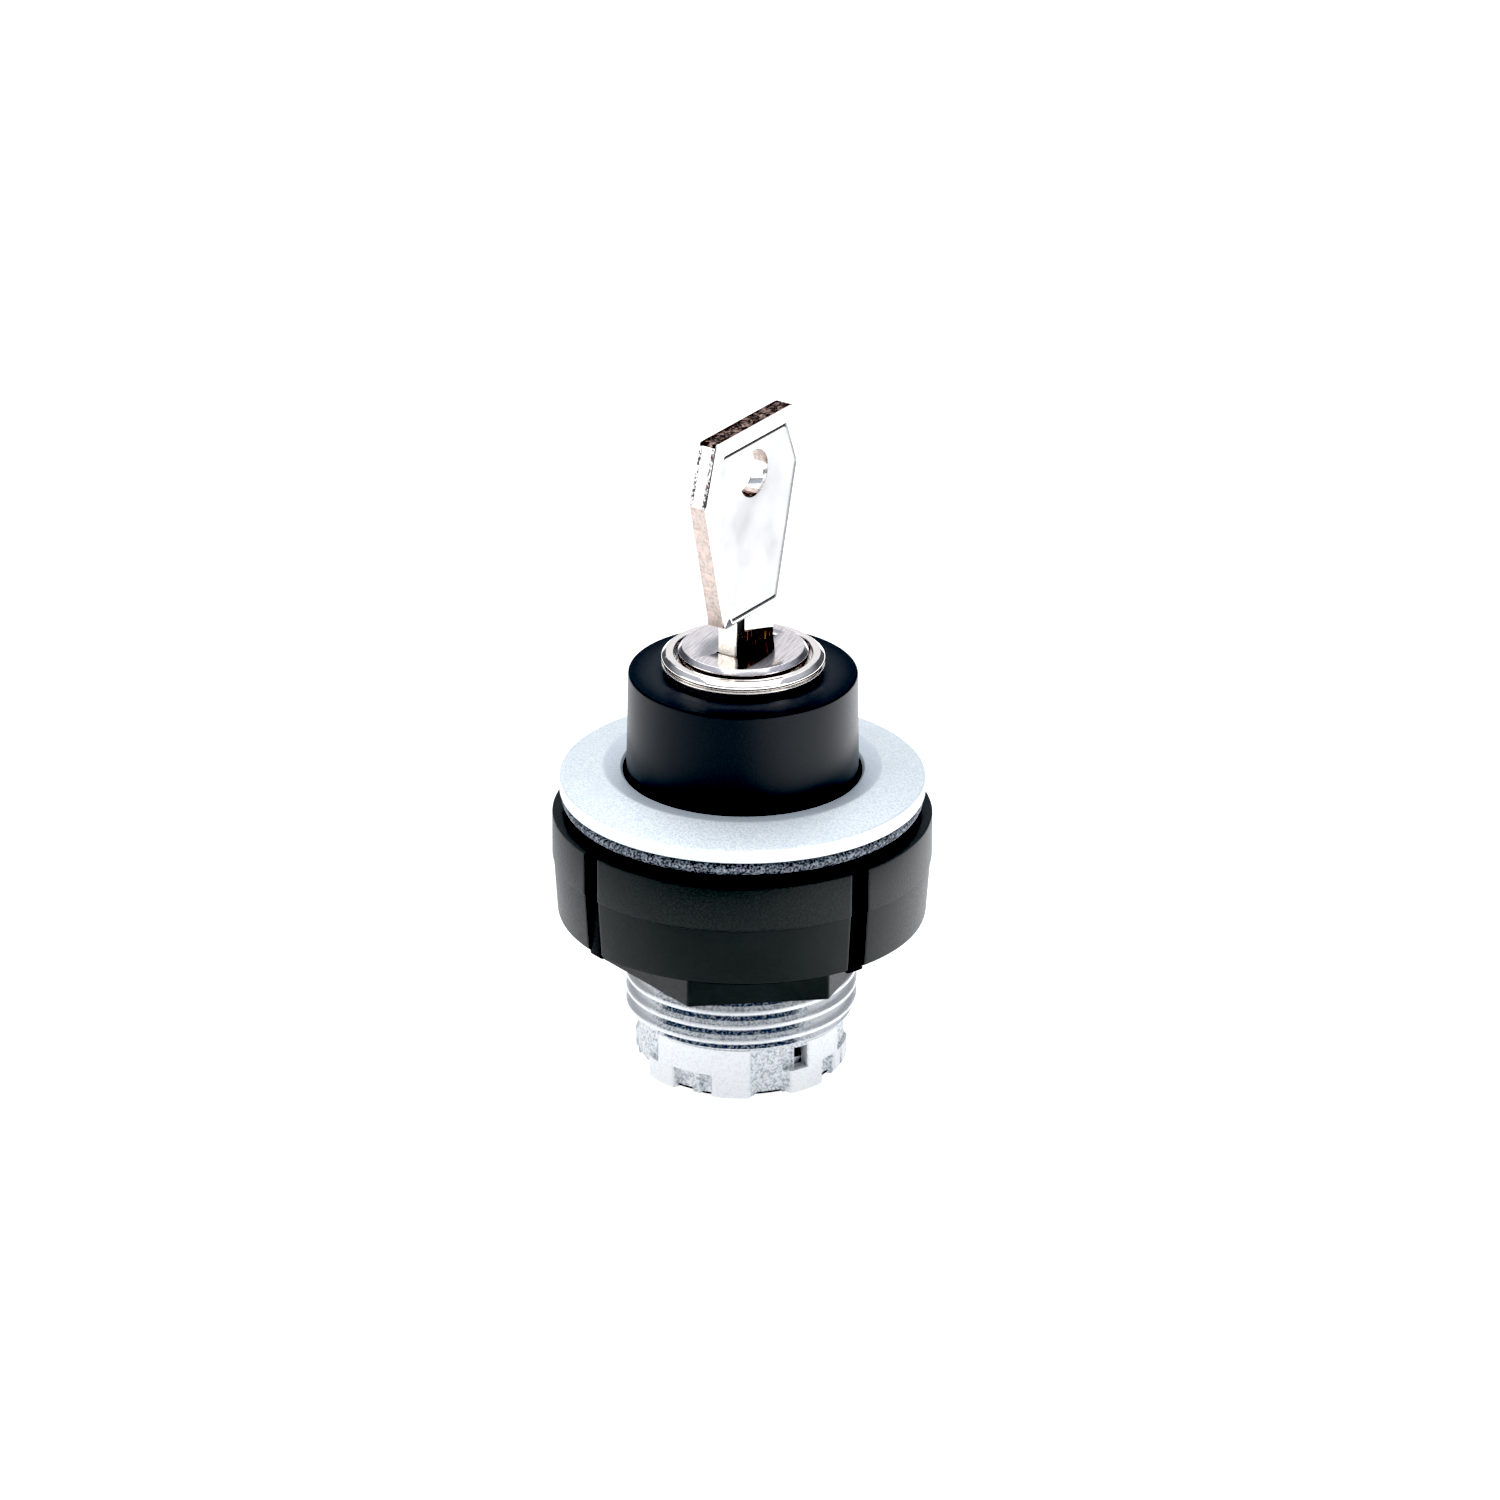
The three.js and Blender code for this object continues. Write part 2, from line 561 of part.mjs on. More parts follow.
place("threaded_body", threadedBody(), zinc);
place("bezel", bezel(), satinChrome);
place("front_seal", frontSeal(), rubber);
place("clamp_ring", clampRing(), blackPlastic).rotation.z = RING_TURN;
place("key_holder", keyHolder(), blackPlastic);
place("holder_o_ring", oRing(8.3, 0.42, 21.5), rubber);
place("lock_stator", lockStator(), nickel);
place("lock_gasket", lockGasket(), rubber);
place("lock_nut", lockNut(), brass);
const barrel = new THREE.Group();
barrel.rotation.z = rad(LOCK_TURN);
head.add(barrel);
place("lock_rotor", lockRotor(), nickel, barrel);
place("rotor_clip", rotorClip(), steel, barrel);
for (let i = 0; i < WAFERS.count; i++) {
  place(`wafer_${i + 1}`, wafer(WAFERS.first + i * WAFERS.spacing), brass, barrel);
}
place("key", key(), nickel, barrel);
place("switching_cam", switchingCam(), whitePlastic);
place("thrust_washer", thrustWasher(), steel);
place("stop_pin", stopPin(), steel);
place("detent_ball", detentBall(), steel);
place("detent_spring", detentSpring(), steel);
place("guide_plate", guidePlate(), blackPlastic);
place("plate_clip", plateClip(), steel);
for (const [name, side] of [["right", 1], ["left", -1]]) {
  const station = new THREE.Group();
  station.position.x = side * PUSHER.offset;
  head.add(station);
  place(`pusher_${name}`, pusher(), whitePlastic, station);
  place(`pusher_spring_${name}`, pusherSpring(), steel, station);
}

export default head;
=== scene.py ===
"""Looks of the selector key switch head: fine meshes, procedural materials, floor, light and camera.

Lengths are in millimetres until a mesh is made, where they become metres.
Angles are in degrees about +Z, and -90 faces the camera.
"""

import math

import bmesh
import bpy
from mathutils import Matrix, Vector

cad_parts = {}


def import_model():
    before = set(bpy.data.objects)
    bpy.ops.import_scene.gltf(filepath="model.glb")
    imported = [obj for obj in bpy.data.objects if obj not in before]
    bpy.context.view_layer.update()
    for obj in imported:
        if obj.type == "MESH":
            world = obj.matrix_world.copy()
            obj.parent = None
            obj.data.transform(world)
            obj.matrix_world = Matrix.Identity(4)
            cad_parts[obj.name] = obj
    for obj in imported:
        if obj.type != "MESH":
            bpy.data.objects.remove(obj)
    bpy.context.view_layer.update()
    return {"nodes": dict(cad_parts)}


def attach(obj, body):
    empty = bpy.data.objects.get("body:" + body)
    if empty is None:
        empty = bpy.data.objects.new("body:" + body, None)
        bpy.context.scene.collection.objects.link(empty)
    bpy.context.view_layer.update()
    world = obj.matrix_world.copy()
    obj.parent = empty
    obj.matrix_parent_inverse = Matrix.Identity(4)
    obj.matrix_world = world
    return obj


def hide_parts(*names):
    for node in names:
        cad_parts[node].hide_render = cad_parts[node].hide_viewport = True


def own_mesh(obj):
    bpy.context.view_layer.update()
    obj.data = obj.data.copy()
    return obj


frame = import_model()

MM = 0.001
TAU = 2 * math.pi

# ---- Sizes shared with the CAD model, in millimetres ----
LOCK_TURN = -34
RING_TURN = -52
THREAD = dict(minor=10.08, pitch=1.5, low=5.2, high=22.0)
CROWN = dict(radius=9.8, lug=10.1, bore=8.6, groove=8.95, low=0.1, top=5.1, facing=-90)
LUGS = [  # from, to, low, high, in angles from the middle of the nearer half
    (-60.5, -39.5, 0.0, 2.4),
    (-52, 5.5, 2.3, 5.2),
    (-16.5, 5.5, 0.0, 2.4),
    (27.5, 50.5, 0.0, 2.6),
    (39, 66, 2.5, 5.2),
    (62, 88, 0.6, 2.6),
]
RECESSES = [  # from, to, low, high, radius, and the degrees that the left and right walls take
    (-58, -51.8, 2.3, 3.9, 9.25, 5.5, 0.3),
    (-39.5, -28, -1, 2.3, 9.3, 0.5, 0.8),
    (-23.5, -16.5, -1, 2.3, 9.3, 0.8, 0.5),
    (5.5, 28, -1, 4.9, 9.3, 4.3, 4.8),
    (25, 31.5, 2.6, 4.9, 9.3, 0.5, 0.5),
    (50.5, 62, -1, 2.4, 9.3, 0.5, 0.5),
    (69.5, 72, 0.9, 2.3, 9.3, 0.5, 0.5),
]
GAPS = [  # from, to, height under the wall
    (-89, -60.5, 1.2),
    (-39.5, -28, 0.25),
    (8, 25, 0.3),
    (50.5, 62, 0.4),
]
WINDOW = dict(start=31.5, end=39.0, low=2.6, high=4.7, reach=9.5, depth=3)
# Tones above 0.6 paint shade into the thread's roots.
THREAD_SHAPE = [  # share of a pitch going up from a crest's lower edge, radius, tone
    (0.0, 11.0, 0.03), (0.2, 11.0, 0.03), (0.23, 10.97, 0.12), (0.26, 10.93, 0.72), (0.33, 10.84, 0.66),
    (0.36, 10.8, 0.5), (0.46, 10.62, 0.52), (0.5, 10.54, 0.95), (0.64, 10.2, 1.0), (0.69, 10.1, 0.6),
    (0.8, 10.08, 0.5), (0.84, 10.12, 0.5), (0.9, 10.5, 0.45), (0.96, 10.9, 0.3), (0.985, 10.98, 0.05),
]
# Painted shade in the thread's roots: strongest towards the front and back, fading at the sides.
ROOT_SHADE = dict(start=-56, end=42, fade=14, least=0.12)  # where the thread's roots are dark
RING = dict(
    foot=17.5, low=15.6, parting=21.4, radius=18.0, top=25.8, mouth=16.5,
    floor=17.35, tab=15.3, slot=0.95, flat=11.6, hex_low=10.8,
)
KEYWAY = dict(width=2.25, length=6.7, depth=30, middle=36.5)
KEY = dict(half=1.0, width=6.4, offset=0.4, tip=22.6, point=1.8)
CUTS = dict(first=25.6, apart=2.6, depths=(0.7, 0.3, 0.9, 0.5, 0.3), half_floor=0.3)
BOW = dict(bottom=45.95, shoulder=59.2, top=65.05, half=(4.9, 8.15, 6.4))
HOLE = dict(height=60.15, radius=2.3)
PANEL = dict(side=1.3, top=1.5, bottom=0.45, depth=0.15)
PLUNGER_REACH = 5.9  # from the head's axis to a plunger's
PLATE = dict(low=3.4, high=5.0, radius=8.45, cam_hole=2.65, plunger_hole=1.65)
CLIP = dict(inner=7.6, outer=8.85, low=2.5, high=3.2, start=105, span=330)
SPRING = dict(radius=1.95, wire=0.21, low=5.35, rise=4.0, turns=4)


# ---- Mesh code ----
def piece(name, vertices, faces, body, material, replaces, slot, sharp=32, tones=None, marks=None):
    """A mesh piece from millimetre vertices, smooth except where faces meet at more than `sharp` degrees.

    material is one material, or a list of them with marks giving each face its place in the list.
    tones gives each vertex a number that its material reads as "tone".
    """
    mesh = bpy.data.meshes.new(name)
    mesh.from_pydata([tuple(c * MM for c in v) for v in vertices], [], faces)
    if tones:
        mesh.attributes.new("tone", "FLOAT", "POINT").data.foreach_set("value", tones)
    if marks:
        mesh.polygons.foreach_set("material_index", marks)
    obj = bpy.data.objects.new(name, mesh)
    bpy.context.scene.collection.objects.link(obj)
    finish_mesh(obj, sharp)
    for one in material if isinstance(material, (list, tuple)) else [material]:
        mesh.materials.append(one)
    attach(obj, body)
    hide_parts(*replaces)
    return obj


def finish_mesh(obj, sharp):
    """Welds doubled points, turns the faces outwards and sets smooth shading with sharp edges."""
    work = bmesh.new()
    work.from_mesh(obj.data)
    bmesh.ops.remove_doubles(work, verts=work.verts, dist=1e-7)
    bmesh.ops.dissolve_degenerate(work, edges=work.edges, dist=1e-8)
    bmesh.ops.recalc_face_normals(work, faces=work.faces)
    limit = math.radians(sharp)
    for face in work.faces:
        face.smooth = True
    for edge in work.edges:
        edge.smooth = len(edge.link_faces) == 2 and edge.calc_face_angle(0) < limit
    work.to_mesh(obj.data)
    work.free()


def rounded(corners, steps=5):
    """A closed outline with each (x, y, fillet) corner rounded to its fillet radius."""
    outline = []
    count = len(corners)
    most = 0.49  # of an edge, so that two fillets can share it
    for i, (x, y, fillet) in enumerate(corners):
        here = Vector((x, y))
        back = Vector(corners[i - 1][:2]) - here
        ahead = Vector(corners[(i + 1) % count][:2]) - here
        if fillet <= 0:
            outline.append((x, y))
            continue
        half = back.angle(ahead) / 2
        span = min(fillet / math.tan(half), most * back.length, most * ahead.length)
        start, end = here + back.normalized() * span, here + ahead.normalized() * span
        for k in range(steps + 1):
            t = k / steps
            point = (1 - t) ** 2 * start + 2 * t * (1 - t) * here + t**2 * end
            outline.append((point.x, point.y))
    return outline


def skin(size, count, closed=False):
    """Faces over `count` closed loops of `size` points: in a ring if closed, or else with flat ends."""
    faces = []
    for i in range(count if closed else count - 1):
        j = (i + 1) % count
        for k in range(size):
            m = (k + 1) % size
            faces.append((i * size + k, j * size + k, j * size + m, i * size + m))
    if not closed:
        faces.append(tuple(range(size)))
        faces.append(tuple((count - 1) * size + k for k in reversed(range(size))))
    return faces


def stood(outline, angle):
    """The points of an outline of (radius, height, ...), at an angle about the axis."""
    c, s = math.cos(math.radians(angle)), math.sin(math.radians(angle))
    return [(r * c, r * s, z) for r, z, *_ in outline]


def loft_ring(name, outline_at, angles, body, material, **kw):
    """A closed ring whose outline may change with the angle.

    Every outline has the same number of (radius, height) points, all with a tone after them or none.
    """
    vertices, tones = [], []
    for angle in angles:
        outline = outline_at(angle)
        vertices += stood(outline, angle)
        tones += [point[2] for point in outline if len(point) > 2]
    return piece(name, vertices, skin(len(outline), len(angles), True), body, material, tones=tones, **kw)


def lathe(name, corners, body, material, sides, **kw):
    """A turned piece from (radius, height, fillet) corners."""
    outline = rounded(corners)
    angles = [360 * i / sides for i in range(sides)]
    return loft_ring(name, lambda _: outline, angles, body, material, **kw)


def fine_angles(step, edges, apart=0.12):
    """Even angles, plus those of the edges, which push out the even ones less than `apart` away."""
    edges = sorted({round(e % 360, 3) for e in edges})
    even = [i * step for i in range(round(360 / step))]
    even = [a for a in even if all(abs((a - e + 180) % 360 - 180) > apart for e in edges)]
    return sorted(set(even) | set(edges))


def swept(name, centre_line, radius, body, material, sides=10, **kw):
    """A round wire along a list of points, closed by flat ends."""
    vertices = []
    count = len(centre_line)
    for i, point in enumerate(centre_line):
        ahead = Vector(centre_line[min(i + 1, count - 1)]) - Vector(centre_line[max(i - 1, 0)])
        across = ahead.cross(Vector((0, 0, 1))).normalized()
        up = across.cross(ahead).normalized()
        for k in range(sides):
            a = TAU * k / sides
            aside = math.cos(a) * across + math.sin(a) * up
            vertices.append(tuple(Vector(point) + radius * aside))
    return piece(name, vertices, skin(sides, count), body, material, **kw)


def box_cutter(size, centre, turn):
    """A turned box used only to cut a slot, in millimetres."""
    bpy.ops.mesh.primitive_cube_add(size=1)
    cutter = bpy.context.object
    cutter.scale = [s * MM for s in size]
    cutter.location = [c * MM for c in centre]
    cutter.rotation_euler.z = math.radians(turn)
    return cutter


def rod_cutter(radius, low, high, x):
    """An upright rod on the X axis, used only to cut a hole, in millimetres."""
    bpy.ops.mesh.primitive_cylinder_add(vertices=64, radius=radius * MM, depth=(high - low) * MM)
    cutter = bpy.context.object
    cutter.location = (x * MM, 0, (low + high) / 2 * MM)
    return cutter


def cut(obj, cutters, bevel=0.0, sharp=32):
    """Cuts the cutters out of a piece and, if `bevel` is given, bevels its sharp edges that wide."""
    corner = math.radians(50)  # edges that bend more than this are bevelled
    for cutter in cutters:
        modifier = obj.modifiers.new("cut", "BOOLEAN")
        modifier.operation = "DIFFERENCE"
        modifier.solver = "EXACT"
        modifier.object = cutter
    if bevel:
        modifier = obj.modifiers.new("bevel", "BEVEL")
        modifier.width = bevel * MM
        modifier.segments = 2
        modifier.limit_method = "ANGLE"
        modifier.angle_limit = corner
    bpy.context.view_layer.update()
    made = bpy.data.meshes.new_from_object(obj.evaluated_get(bpy.context.evaluated_depsgraph_get()))
    obj.modifiers.clear()
    obj.data = made
    finish_mesh(obj, sharp)
    for cutter in cutters:
        bpy.data.objects.remove(cutter)


# ---- Materials ----
class Paint:
    """A procedural material round one Principled shader, painted by place along the piece's own axes."""

    def __init__(self, name, color, roughness, metallic=0.0, **sockets):
        self.material = bpy.data.materials.new(name)
        self.material.use_nodes = True
        self.tree = self.material.node_tree
        self.shader = self.tree.nodes["Principled BSDF"]
        self.shader.inputs["Base Color"].default_value = (*color, 1)
        self.shader.inputs["Roughness"].default_value = roughness
        self.shader.inputs["Metallic"].default_value = metallic
        for socket, value in sockets.items():
            self.shader.inputs[socket.replace("_", " ")].default_value = value
        self.color = color
        self.place = self.node("ShaderNodeTexCoord").outputs["Object"]
        self.normal = None

    def node(self, kind, **settings):
        """A new node with its settings."""
        made = self.tree.nodes.new(kind)
        for key, value in settings.items():
            setattr(made, key, value)
        return made

    def link(self, a, b):
        """Joins an output to an input."""
        self.tree.links.new(a, b)

    def noise(self, size, detail, where=None):
        """Noise whose grains are about `size` millimetres."""
        made = self.node("ShaderNodeTexNoise")
        made.inputs["Scale"].default_value = 1 / (size * MM)
        made.inputs["Detail"].default_value = detail
        self.link(where or self.place, made.inputs["Vector"])
        return made.outputs["Fac"]

    def stretched(self, scale, turn=0.0):
        """The place, drawn out that many times along each of its axes, which are first turned about Z."""
        made = self.node("ShaderNodeMapping", vector_type="TEXTURE")
        made.inputs["Rotation"].default_value = (0, 0, math.radians(turn))
        made.inputs["Scale"].default_value = scale
        self.link(self.place, made.inputs["Vector"])
        return made.outputs["Vector"]

    def ramp(self, value, low, high, a=0.0, b=1.0):
        """value from low..high to a..b, clamped."""
        made = self.node("ShaderNodeMapRange", clamp=True)
        self.link(value, made.inputs["Value"])
        for socket, number in zip(("From Min", "From Max", "To Min", "To Max"), (low, high, a, b)):
            made.inputs[socket].default_value = number
        return made.outputs["Result"]

    def math(self, operation, a, b=0.5):
        """A math node; a and b are outputs or numbers, and b is left out where there is only one."""
        made = self.node("ShaderNodeMath", operation=operation)
        for socket, value in zip(made.inputs, (a, b)):
            if isinstance(value, (int, float)):
                socket.default_value = value
            else:
                self.link(value, socket)
        return made.outputs["Value"]

    def times(self, *values):
        """The product of outputs and numbers."""
        product = values[0]
        for value in values[1:]:
            product = self.math("MULTIPLY", product, value)
        return product

    def axis(self, name):
        """One coordinate of the place, in metres."""
        made = self.node("ShaderNodeSeparateXYZ")
        self.link(self.place, made.inputs["Vector"])
        return made.outputs[name]

    def radius(self):
        """Distance from the head's axis, in metres."""
        x, y = self.axis("X"), self.axis("Y")
        squares = self.math("ADD", self.math("MULTIPLY", x, x), self.math("MULTIPLY", y, y))
        return self.math("SQRT", squares)

    def tone(self):
        """The number that the piece gives each vertex."""
        return self.node("ShaderNodeAttribute", attribute_name="tone").outputs["Fac"]

    def vary(self, value, color, amount):
        """Mixes the colour towards another, by that amount where the 0..1 value is 1."""
        made = self.node("ShaderNodeMix", data_type="RGBA")
        self.link(self.math("MULTIPLY", value, amount), made.inputs[0])
        base = self.shader.inputs["Base Color"]
        if base.is_linked:
            self.link(base.links[0].from_socket, made.inputs[6])
        else:
            made.inputs[6].default_value = (*self.color, 1)
        made.inputs[7].default_value = (*color, 1)
        self.link(made.outputs[2], base)

    def rough(self, value, low, high, start=0.25, end=0.75):
        """Roughness from low to high as the value goes from start to end."""
        self.link(self.ramp(value, start, end, low, high), self.shader.inputs["Roughness"])

    def bump(self, value, depth, strength):
        """Bump of a given depth in millimetres, over the bumps made before."""
        made = self.node("ShaderNodeBump")
        made.inputs["Strength"].default_value = strength
        made.inputs["Distance"].default_value = depth * MM
        self.link(value, made.inputs["Height"])
        if self.normal:
            self.link(self.normal, made.inputs["Normal"])
        self.normal = made.outputs["Normal"]
        self.link(self.normal, self.shader.inputs["Normal"])


def cast_zinc():
    """Die-cast zinc: tone 0 is worn bright, 0.5 raw casting, 1 painted shade in a thread's root.

    The inside of the foot is painted in shade.
    """
    paint = Paint("cast_zinc", (0.76, 0.775, 0.785), 0.42, 0.6)
    grain = paint.noise(0.26, 3)
    blotch = paint.noise(0.55, 3)
    tone = paint.tone()
    raw = paint.ramp(tone, 0.12, 0.5)
    root = paint.ramp(tone, 0.6, 1.0)
    inside = paint.ramp(paint.radius(), 8.75 * MM, 9.1 * MM, 1.0, 0.0)
    paint.rough(tone, 0.42, 0.62, 0, 0.5)
    paint.vary(paint.ramp(grain, 0.5, 0.6), (0.5, 0.52, 0.54), 0.25)
    paint.vary(paint.times(raw, paint.ramp(grain, 0.48, 0.55)), (0.4, 0.43, 0.46), 0.85)
    paint.vary(paint.times(raw, paint.ramp(blotch, 0.45, 0.65)), (0.9, 0.93, 0.95), 0.5)
    # Painted shade: navy darkening in the thread's roots.
    paint.vary(paint.times(root, paint.ramp(grain, 0.36, 0.52, 0.6, 1.0)), (0.02, 0.045, 0.09), 0.97)
    # Painted shade inside the foot.
    paint.vary(inside, (0.16, 0.17, 0.19), 0.9)
    paint.bump(grain, 0.03, 0.5)
    paint.bump(paint.times(raw, grain), 0.16, 0.9)
    return paint.material


def satin_silver():
    """Bead-blasted silver; the dished band by the hole is a little smoother and has a painted bluish shade.
    """
    paint = Paint("satin_bezel", (0.9, 0.94, 0.955), 0.55)
    grain = paint.noise(0.2, 3)
    band = paint.ramp(paint.radius(), 13.0 * MM, 13.3 * MM, 1.0, 0.0)
    paint.rough(band, 0.56, 0.42, 0, 1)
    paint.link(paint.ramp(band, 0, 1, 0.5, 0.3), paint.shader.inputs["Metallic"])
    paint.vary(paint.ramp(grain, 0.44, 0.6), (0.6, 0.69, 0.73), 0.6)
    paint.vary(paint.ramp(paint.noise(5, 2), 0.5, 0.7), (0.76, 0.82, 0.84), 0.5)
    # Painted shade: a bluish darkening on the dished band by the hole.
    paint.vary(band, (0.62, 0.7, 0.77), 0.5)
    paint.bump(grain, 0.035, 0.9)
    return paint.material


def black_plastic(name, color, roughness, grain_size, depth):
    """Black plastic or rubber with an even grain of that size and depth, in millimetres."""
    paint = Paint(name, color, roughness)
    grain = paint.noise(grain_size, 3)
    paint.rough(grain, roughness - 0.06, roughness + 0.08)
    lighter = tuple(min(1, c * 1.9 + 0.004) for c in color)
    paint.vary(paint.ramp(grain, 0.5, 0.66), lighter, 0.5)
    paint.vary(paint.ramp(paint.noise(7, 2), 0.45, 0.7), lighter, 0.35)
    paint.bump(grain, depth, 0.7)
    return paint.material


def holder_plastic():
    """Black plastic, glossy round the drum and duller on the top face, which has painted light on it,
    strongest by the lock.
    """
    paint = Paint("holder_plastic", (0.008, 0.01, 0.012), 0.36)
    grain = paint.noise(0.14, 3)
    top = paint.ramp(paint.axis("Z"), 39.8 * MM, 39.97 * MM)
    paint.link(paint.ramp(top, 0, 1, 0.31, 0.06), paint.shader.inputs["Specular IOR Level"])
    paint.rough(grain, 0.31, 0.44)
    paint.vary(paint.ramp(grain, 0.5, 0.66), (0.013, 0.015, 0.018), 0.5)
    # Painted light: the top face is painted lighter.
    paint.vary(top, (0.022, 0.025, 0.029), 0.95)
    # More painted light on the top face near the lock's flange.
    painted_light_by_flange = paint.ramp(paint.radius(), 8.3 * MM, 10.2 * MM, 1, 0)
    paint.vary(paint.times(top, painted_light_by_flange), (0.075, 0.08, 0.088), 0.5)
    paint.bump(grain, 0.006, 0.7)
    return paint.material


def ring_plastic():
    """Black glass-filled plastic: spark-textured above the parting line and duller below it; the grooves'
    floors have painted shade and less shine.

    Tone 1 is the floor of a groove.
    """
    paint = Paint("ring_plastic", (0.012, 0.014, 0.0125), 0.42)
    grain = paint.noise(0.2, 3)
    upper = paint.ramp(paint.axis("Z"), 21.35 * MM, 21.45 * MM)
    groove = paint.ramp(paint.tone(), 0.6, 0.97)
    shine = paint.math("SUBTRACT", paint.ramp(upper, 0, 1, 0.29, 0.32), paint.math("MULTIPLY", groove, 0.16))
    paint.link(shine, paint.shader.inputs["Specular IOR Level"])
    paint.rough(grain, 0.36, 0.5)
    paint.vary(paint.times(upper, paint.ramp(grain, 0.46, 0.62)), (0.022, 0.025, 0.023), 0.7)
    paint.vary(paint.ramp(paint.noise(7, 2), 0.45, 0.7), (0.016, 0.019, 0.0175), 0.5)
    # Painted shade on the grooves' floors.
    paint.vary(groove, (0.003, 0.003, 0.003), 0.8)
    paint.bump(paint.times(paint.ramp(upper, 0, 1, 0.35, 1.0), grain), 0.03, 0.8)
    return paint.material


def seal_rubber():
    """Black rubber with a painted speckled highlight where the bead stands out."""
    paint = Paint("seal_rubber", (0.008, 0.009, 0.01), 0.6)
    speck = paint.noise(0.24, 3)
    painted_bead_highlight = paint.ramp(paint.radius(), 16.6 * MM, 16.9 * MM)
    paint.rough(speck, 0.45, 0.8)
    # Painted highlight: light speckles on the bead under the bezel.
    paint.vary(paint.times(painted_bead_highlight, paint.ramp(speck, 0.42, 0.68)), (0.42, 0.47, 0.54), 0.9)
    paint.vary(paint.ramp(paint.noise(0.5, 3), 0.6, 0.7), (0.05, 0.055, 0.06), 0.5)
    paint.bump(speck, 0.06, 1.0)
    return paint.material


def nickel(name, color, roughness, scratch=0.35, wavy=0.25):
    """Polished nickel plate with a slight wave and fine upright scratches."""
    paint = Paint(name, color, roughness, 1.0)
    wave = paint.noise(3.5, 2)
    paint.rough(wave, roughness * 0.7, roughness * 1.5)
    line = paint.noise(0.12, 2, paint.stretched((1, 1, 16)))
    paint.vary(paint.ramp(line, 0.55, 0.7), tuple(c * 0.86 for c in color), scratch)
    paint.bump(line, 0.002, 0.5)
    paint.bump(wave, 0.03, wavy)
    return paint.material


def brushed_face():
    """Nickel with long brush marks across the face and the faint rings a lathe tool leaves."""
    paint = Paint("lock_face", (0.9, 0.85, 0.84), 0.14, 1.0)
    join = paint.node("ShaderNodeCombineXYZ")
    paint.link(paint.radius(), join.inputs["X"])
    rings = paint.noise(0.06, 2, join.outputs["Vector"])
    brush = paint.noise(0.1, 3, paint.stretched((1, 20, 1), -23))
    paint.rough(brush, 0.09, 0.2)
    paint.vary(paint.ramp(brush, 0.45, 0.7), (0.5, 0.46, 0.47), 0.7)
    paint.vary(paint.ramp(rings, 0.5, 0.7), (0.62, 0.58, 0.58), 0.3)
    paint.bump(brush, 0.003, 0.6)
    paint.bump(rings, 0.002, 0.5)
    return paint.material


def cut_edge(name, color, dark, share, roughness, depth):
    """A blanked edge of the key. share is where the dark tears begin in the noise, from 0 to 1."""
    paint = Paint(name, color, roughness, 1.0)
    tear = paint.noise(0.3, 4)
    paint.rough(tear, roughness * 0.7, roughness * 1.6)
    paint.vary(paint.ramp(tear, share, share + 0.08), dark, 0.9)
    paint.vary(paint.ramp(paint.noise(0.8, 2), 0.55, 0.65), (0.86, 0.6, 0.52), 0.35)
    paint.bump(tear, depth, 0.9)
    return paint.material


def blade_face():
    """The blade's flat: polished by the bow, with painted dark reflection and painted orange reflection
    streaks just above the lock.

    The border between them slants, so it follows a height that also grows with X.
    """
    paint = Paint("key_face", (0.9, 0.87, 0.83), 0.08, 1.0)
    height = paint.math("ADD", paint.axis("Z"), paint.math("MULTIPLY", paint.axis("X"), 0.5))
    above, below = paint.ramp(height, 43.3 * MM, 43.8 * MM), paint.ramp(height, 44.5 * MM, 44.8 * MM, 1, 0)
    painted_light_mask = paint.times(above, below)
    streak = paint.noise(0.5, 2, paint.stretched((1, 1, 2)))
    paint.rough(streak, 0.06, 0.14)
    # Painted reflection: the blade is dark below the polished part.
    paint.vary(paint.ramp(height, 44.9 * MM, 45.0 * MM, 1, 0), (0.03, 0.02, 0.015), 0.97)
    # Painted reflection: orange streaks in a band just above the lock.
    paint.vary(paint.times(painted_light_mask, paint.ramp(streak, 0.52, 0.58)), (0.9, 0.5, 0.25), 0.9)
    paint.bump(streak, 0.004, 0.5)
    return paint.material


def groove_shade():
    """Painted shade in the key's milled lines and grooves, with a few lighter flecks."""
    paint = Paint("key_groove", (0.01, 0.009, 0.008), 0.7)
    paint.vary(paint.ramp(paint.noise(0.4, 2), 0.62, 0.7), (0.2, 0.18, 0.16), 0.6)
    paint.bump(paint.noise(0.2, 2), 0.02, 0.5)
    return paint.material


def plain_metal(name, color, roughness):
    """Plain metal with a fine grain."""
    paint = Paint(name, color, roughness, 1.0)
    grain = paint.noise(0.25, 3)
    paint.rough(grain, roughness * 0.8, roughness * 1.4)
    paint.vary(paint.ramp(grain, 0.5, 0.7), tuple(c * 0.8 for c in color), 0.5)
    paint.bump(grain, 0.01, 0.5)
    return paint.material


def acetal(name, color):
    """Slightly translucent white plastic."""
    paint = Paint(name, color, 0.45, Subsurface_Weight=0.1, Subsurface_Radius=(0.002, 0.002, 0.0015))
    grain = paint.noise(0.4, 3)
    paint.rough(grain, 0.38, 0.55)
    paint.vary(paint.ramp(grain, 0.5, 0.7), tuple(c * 0.92 for c in color), 0.6)
    paint.bump(grain, 0.01, 0.5)
    return paint.material


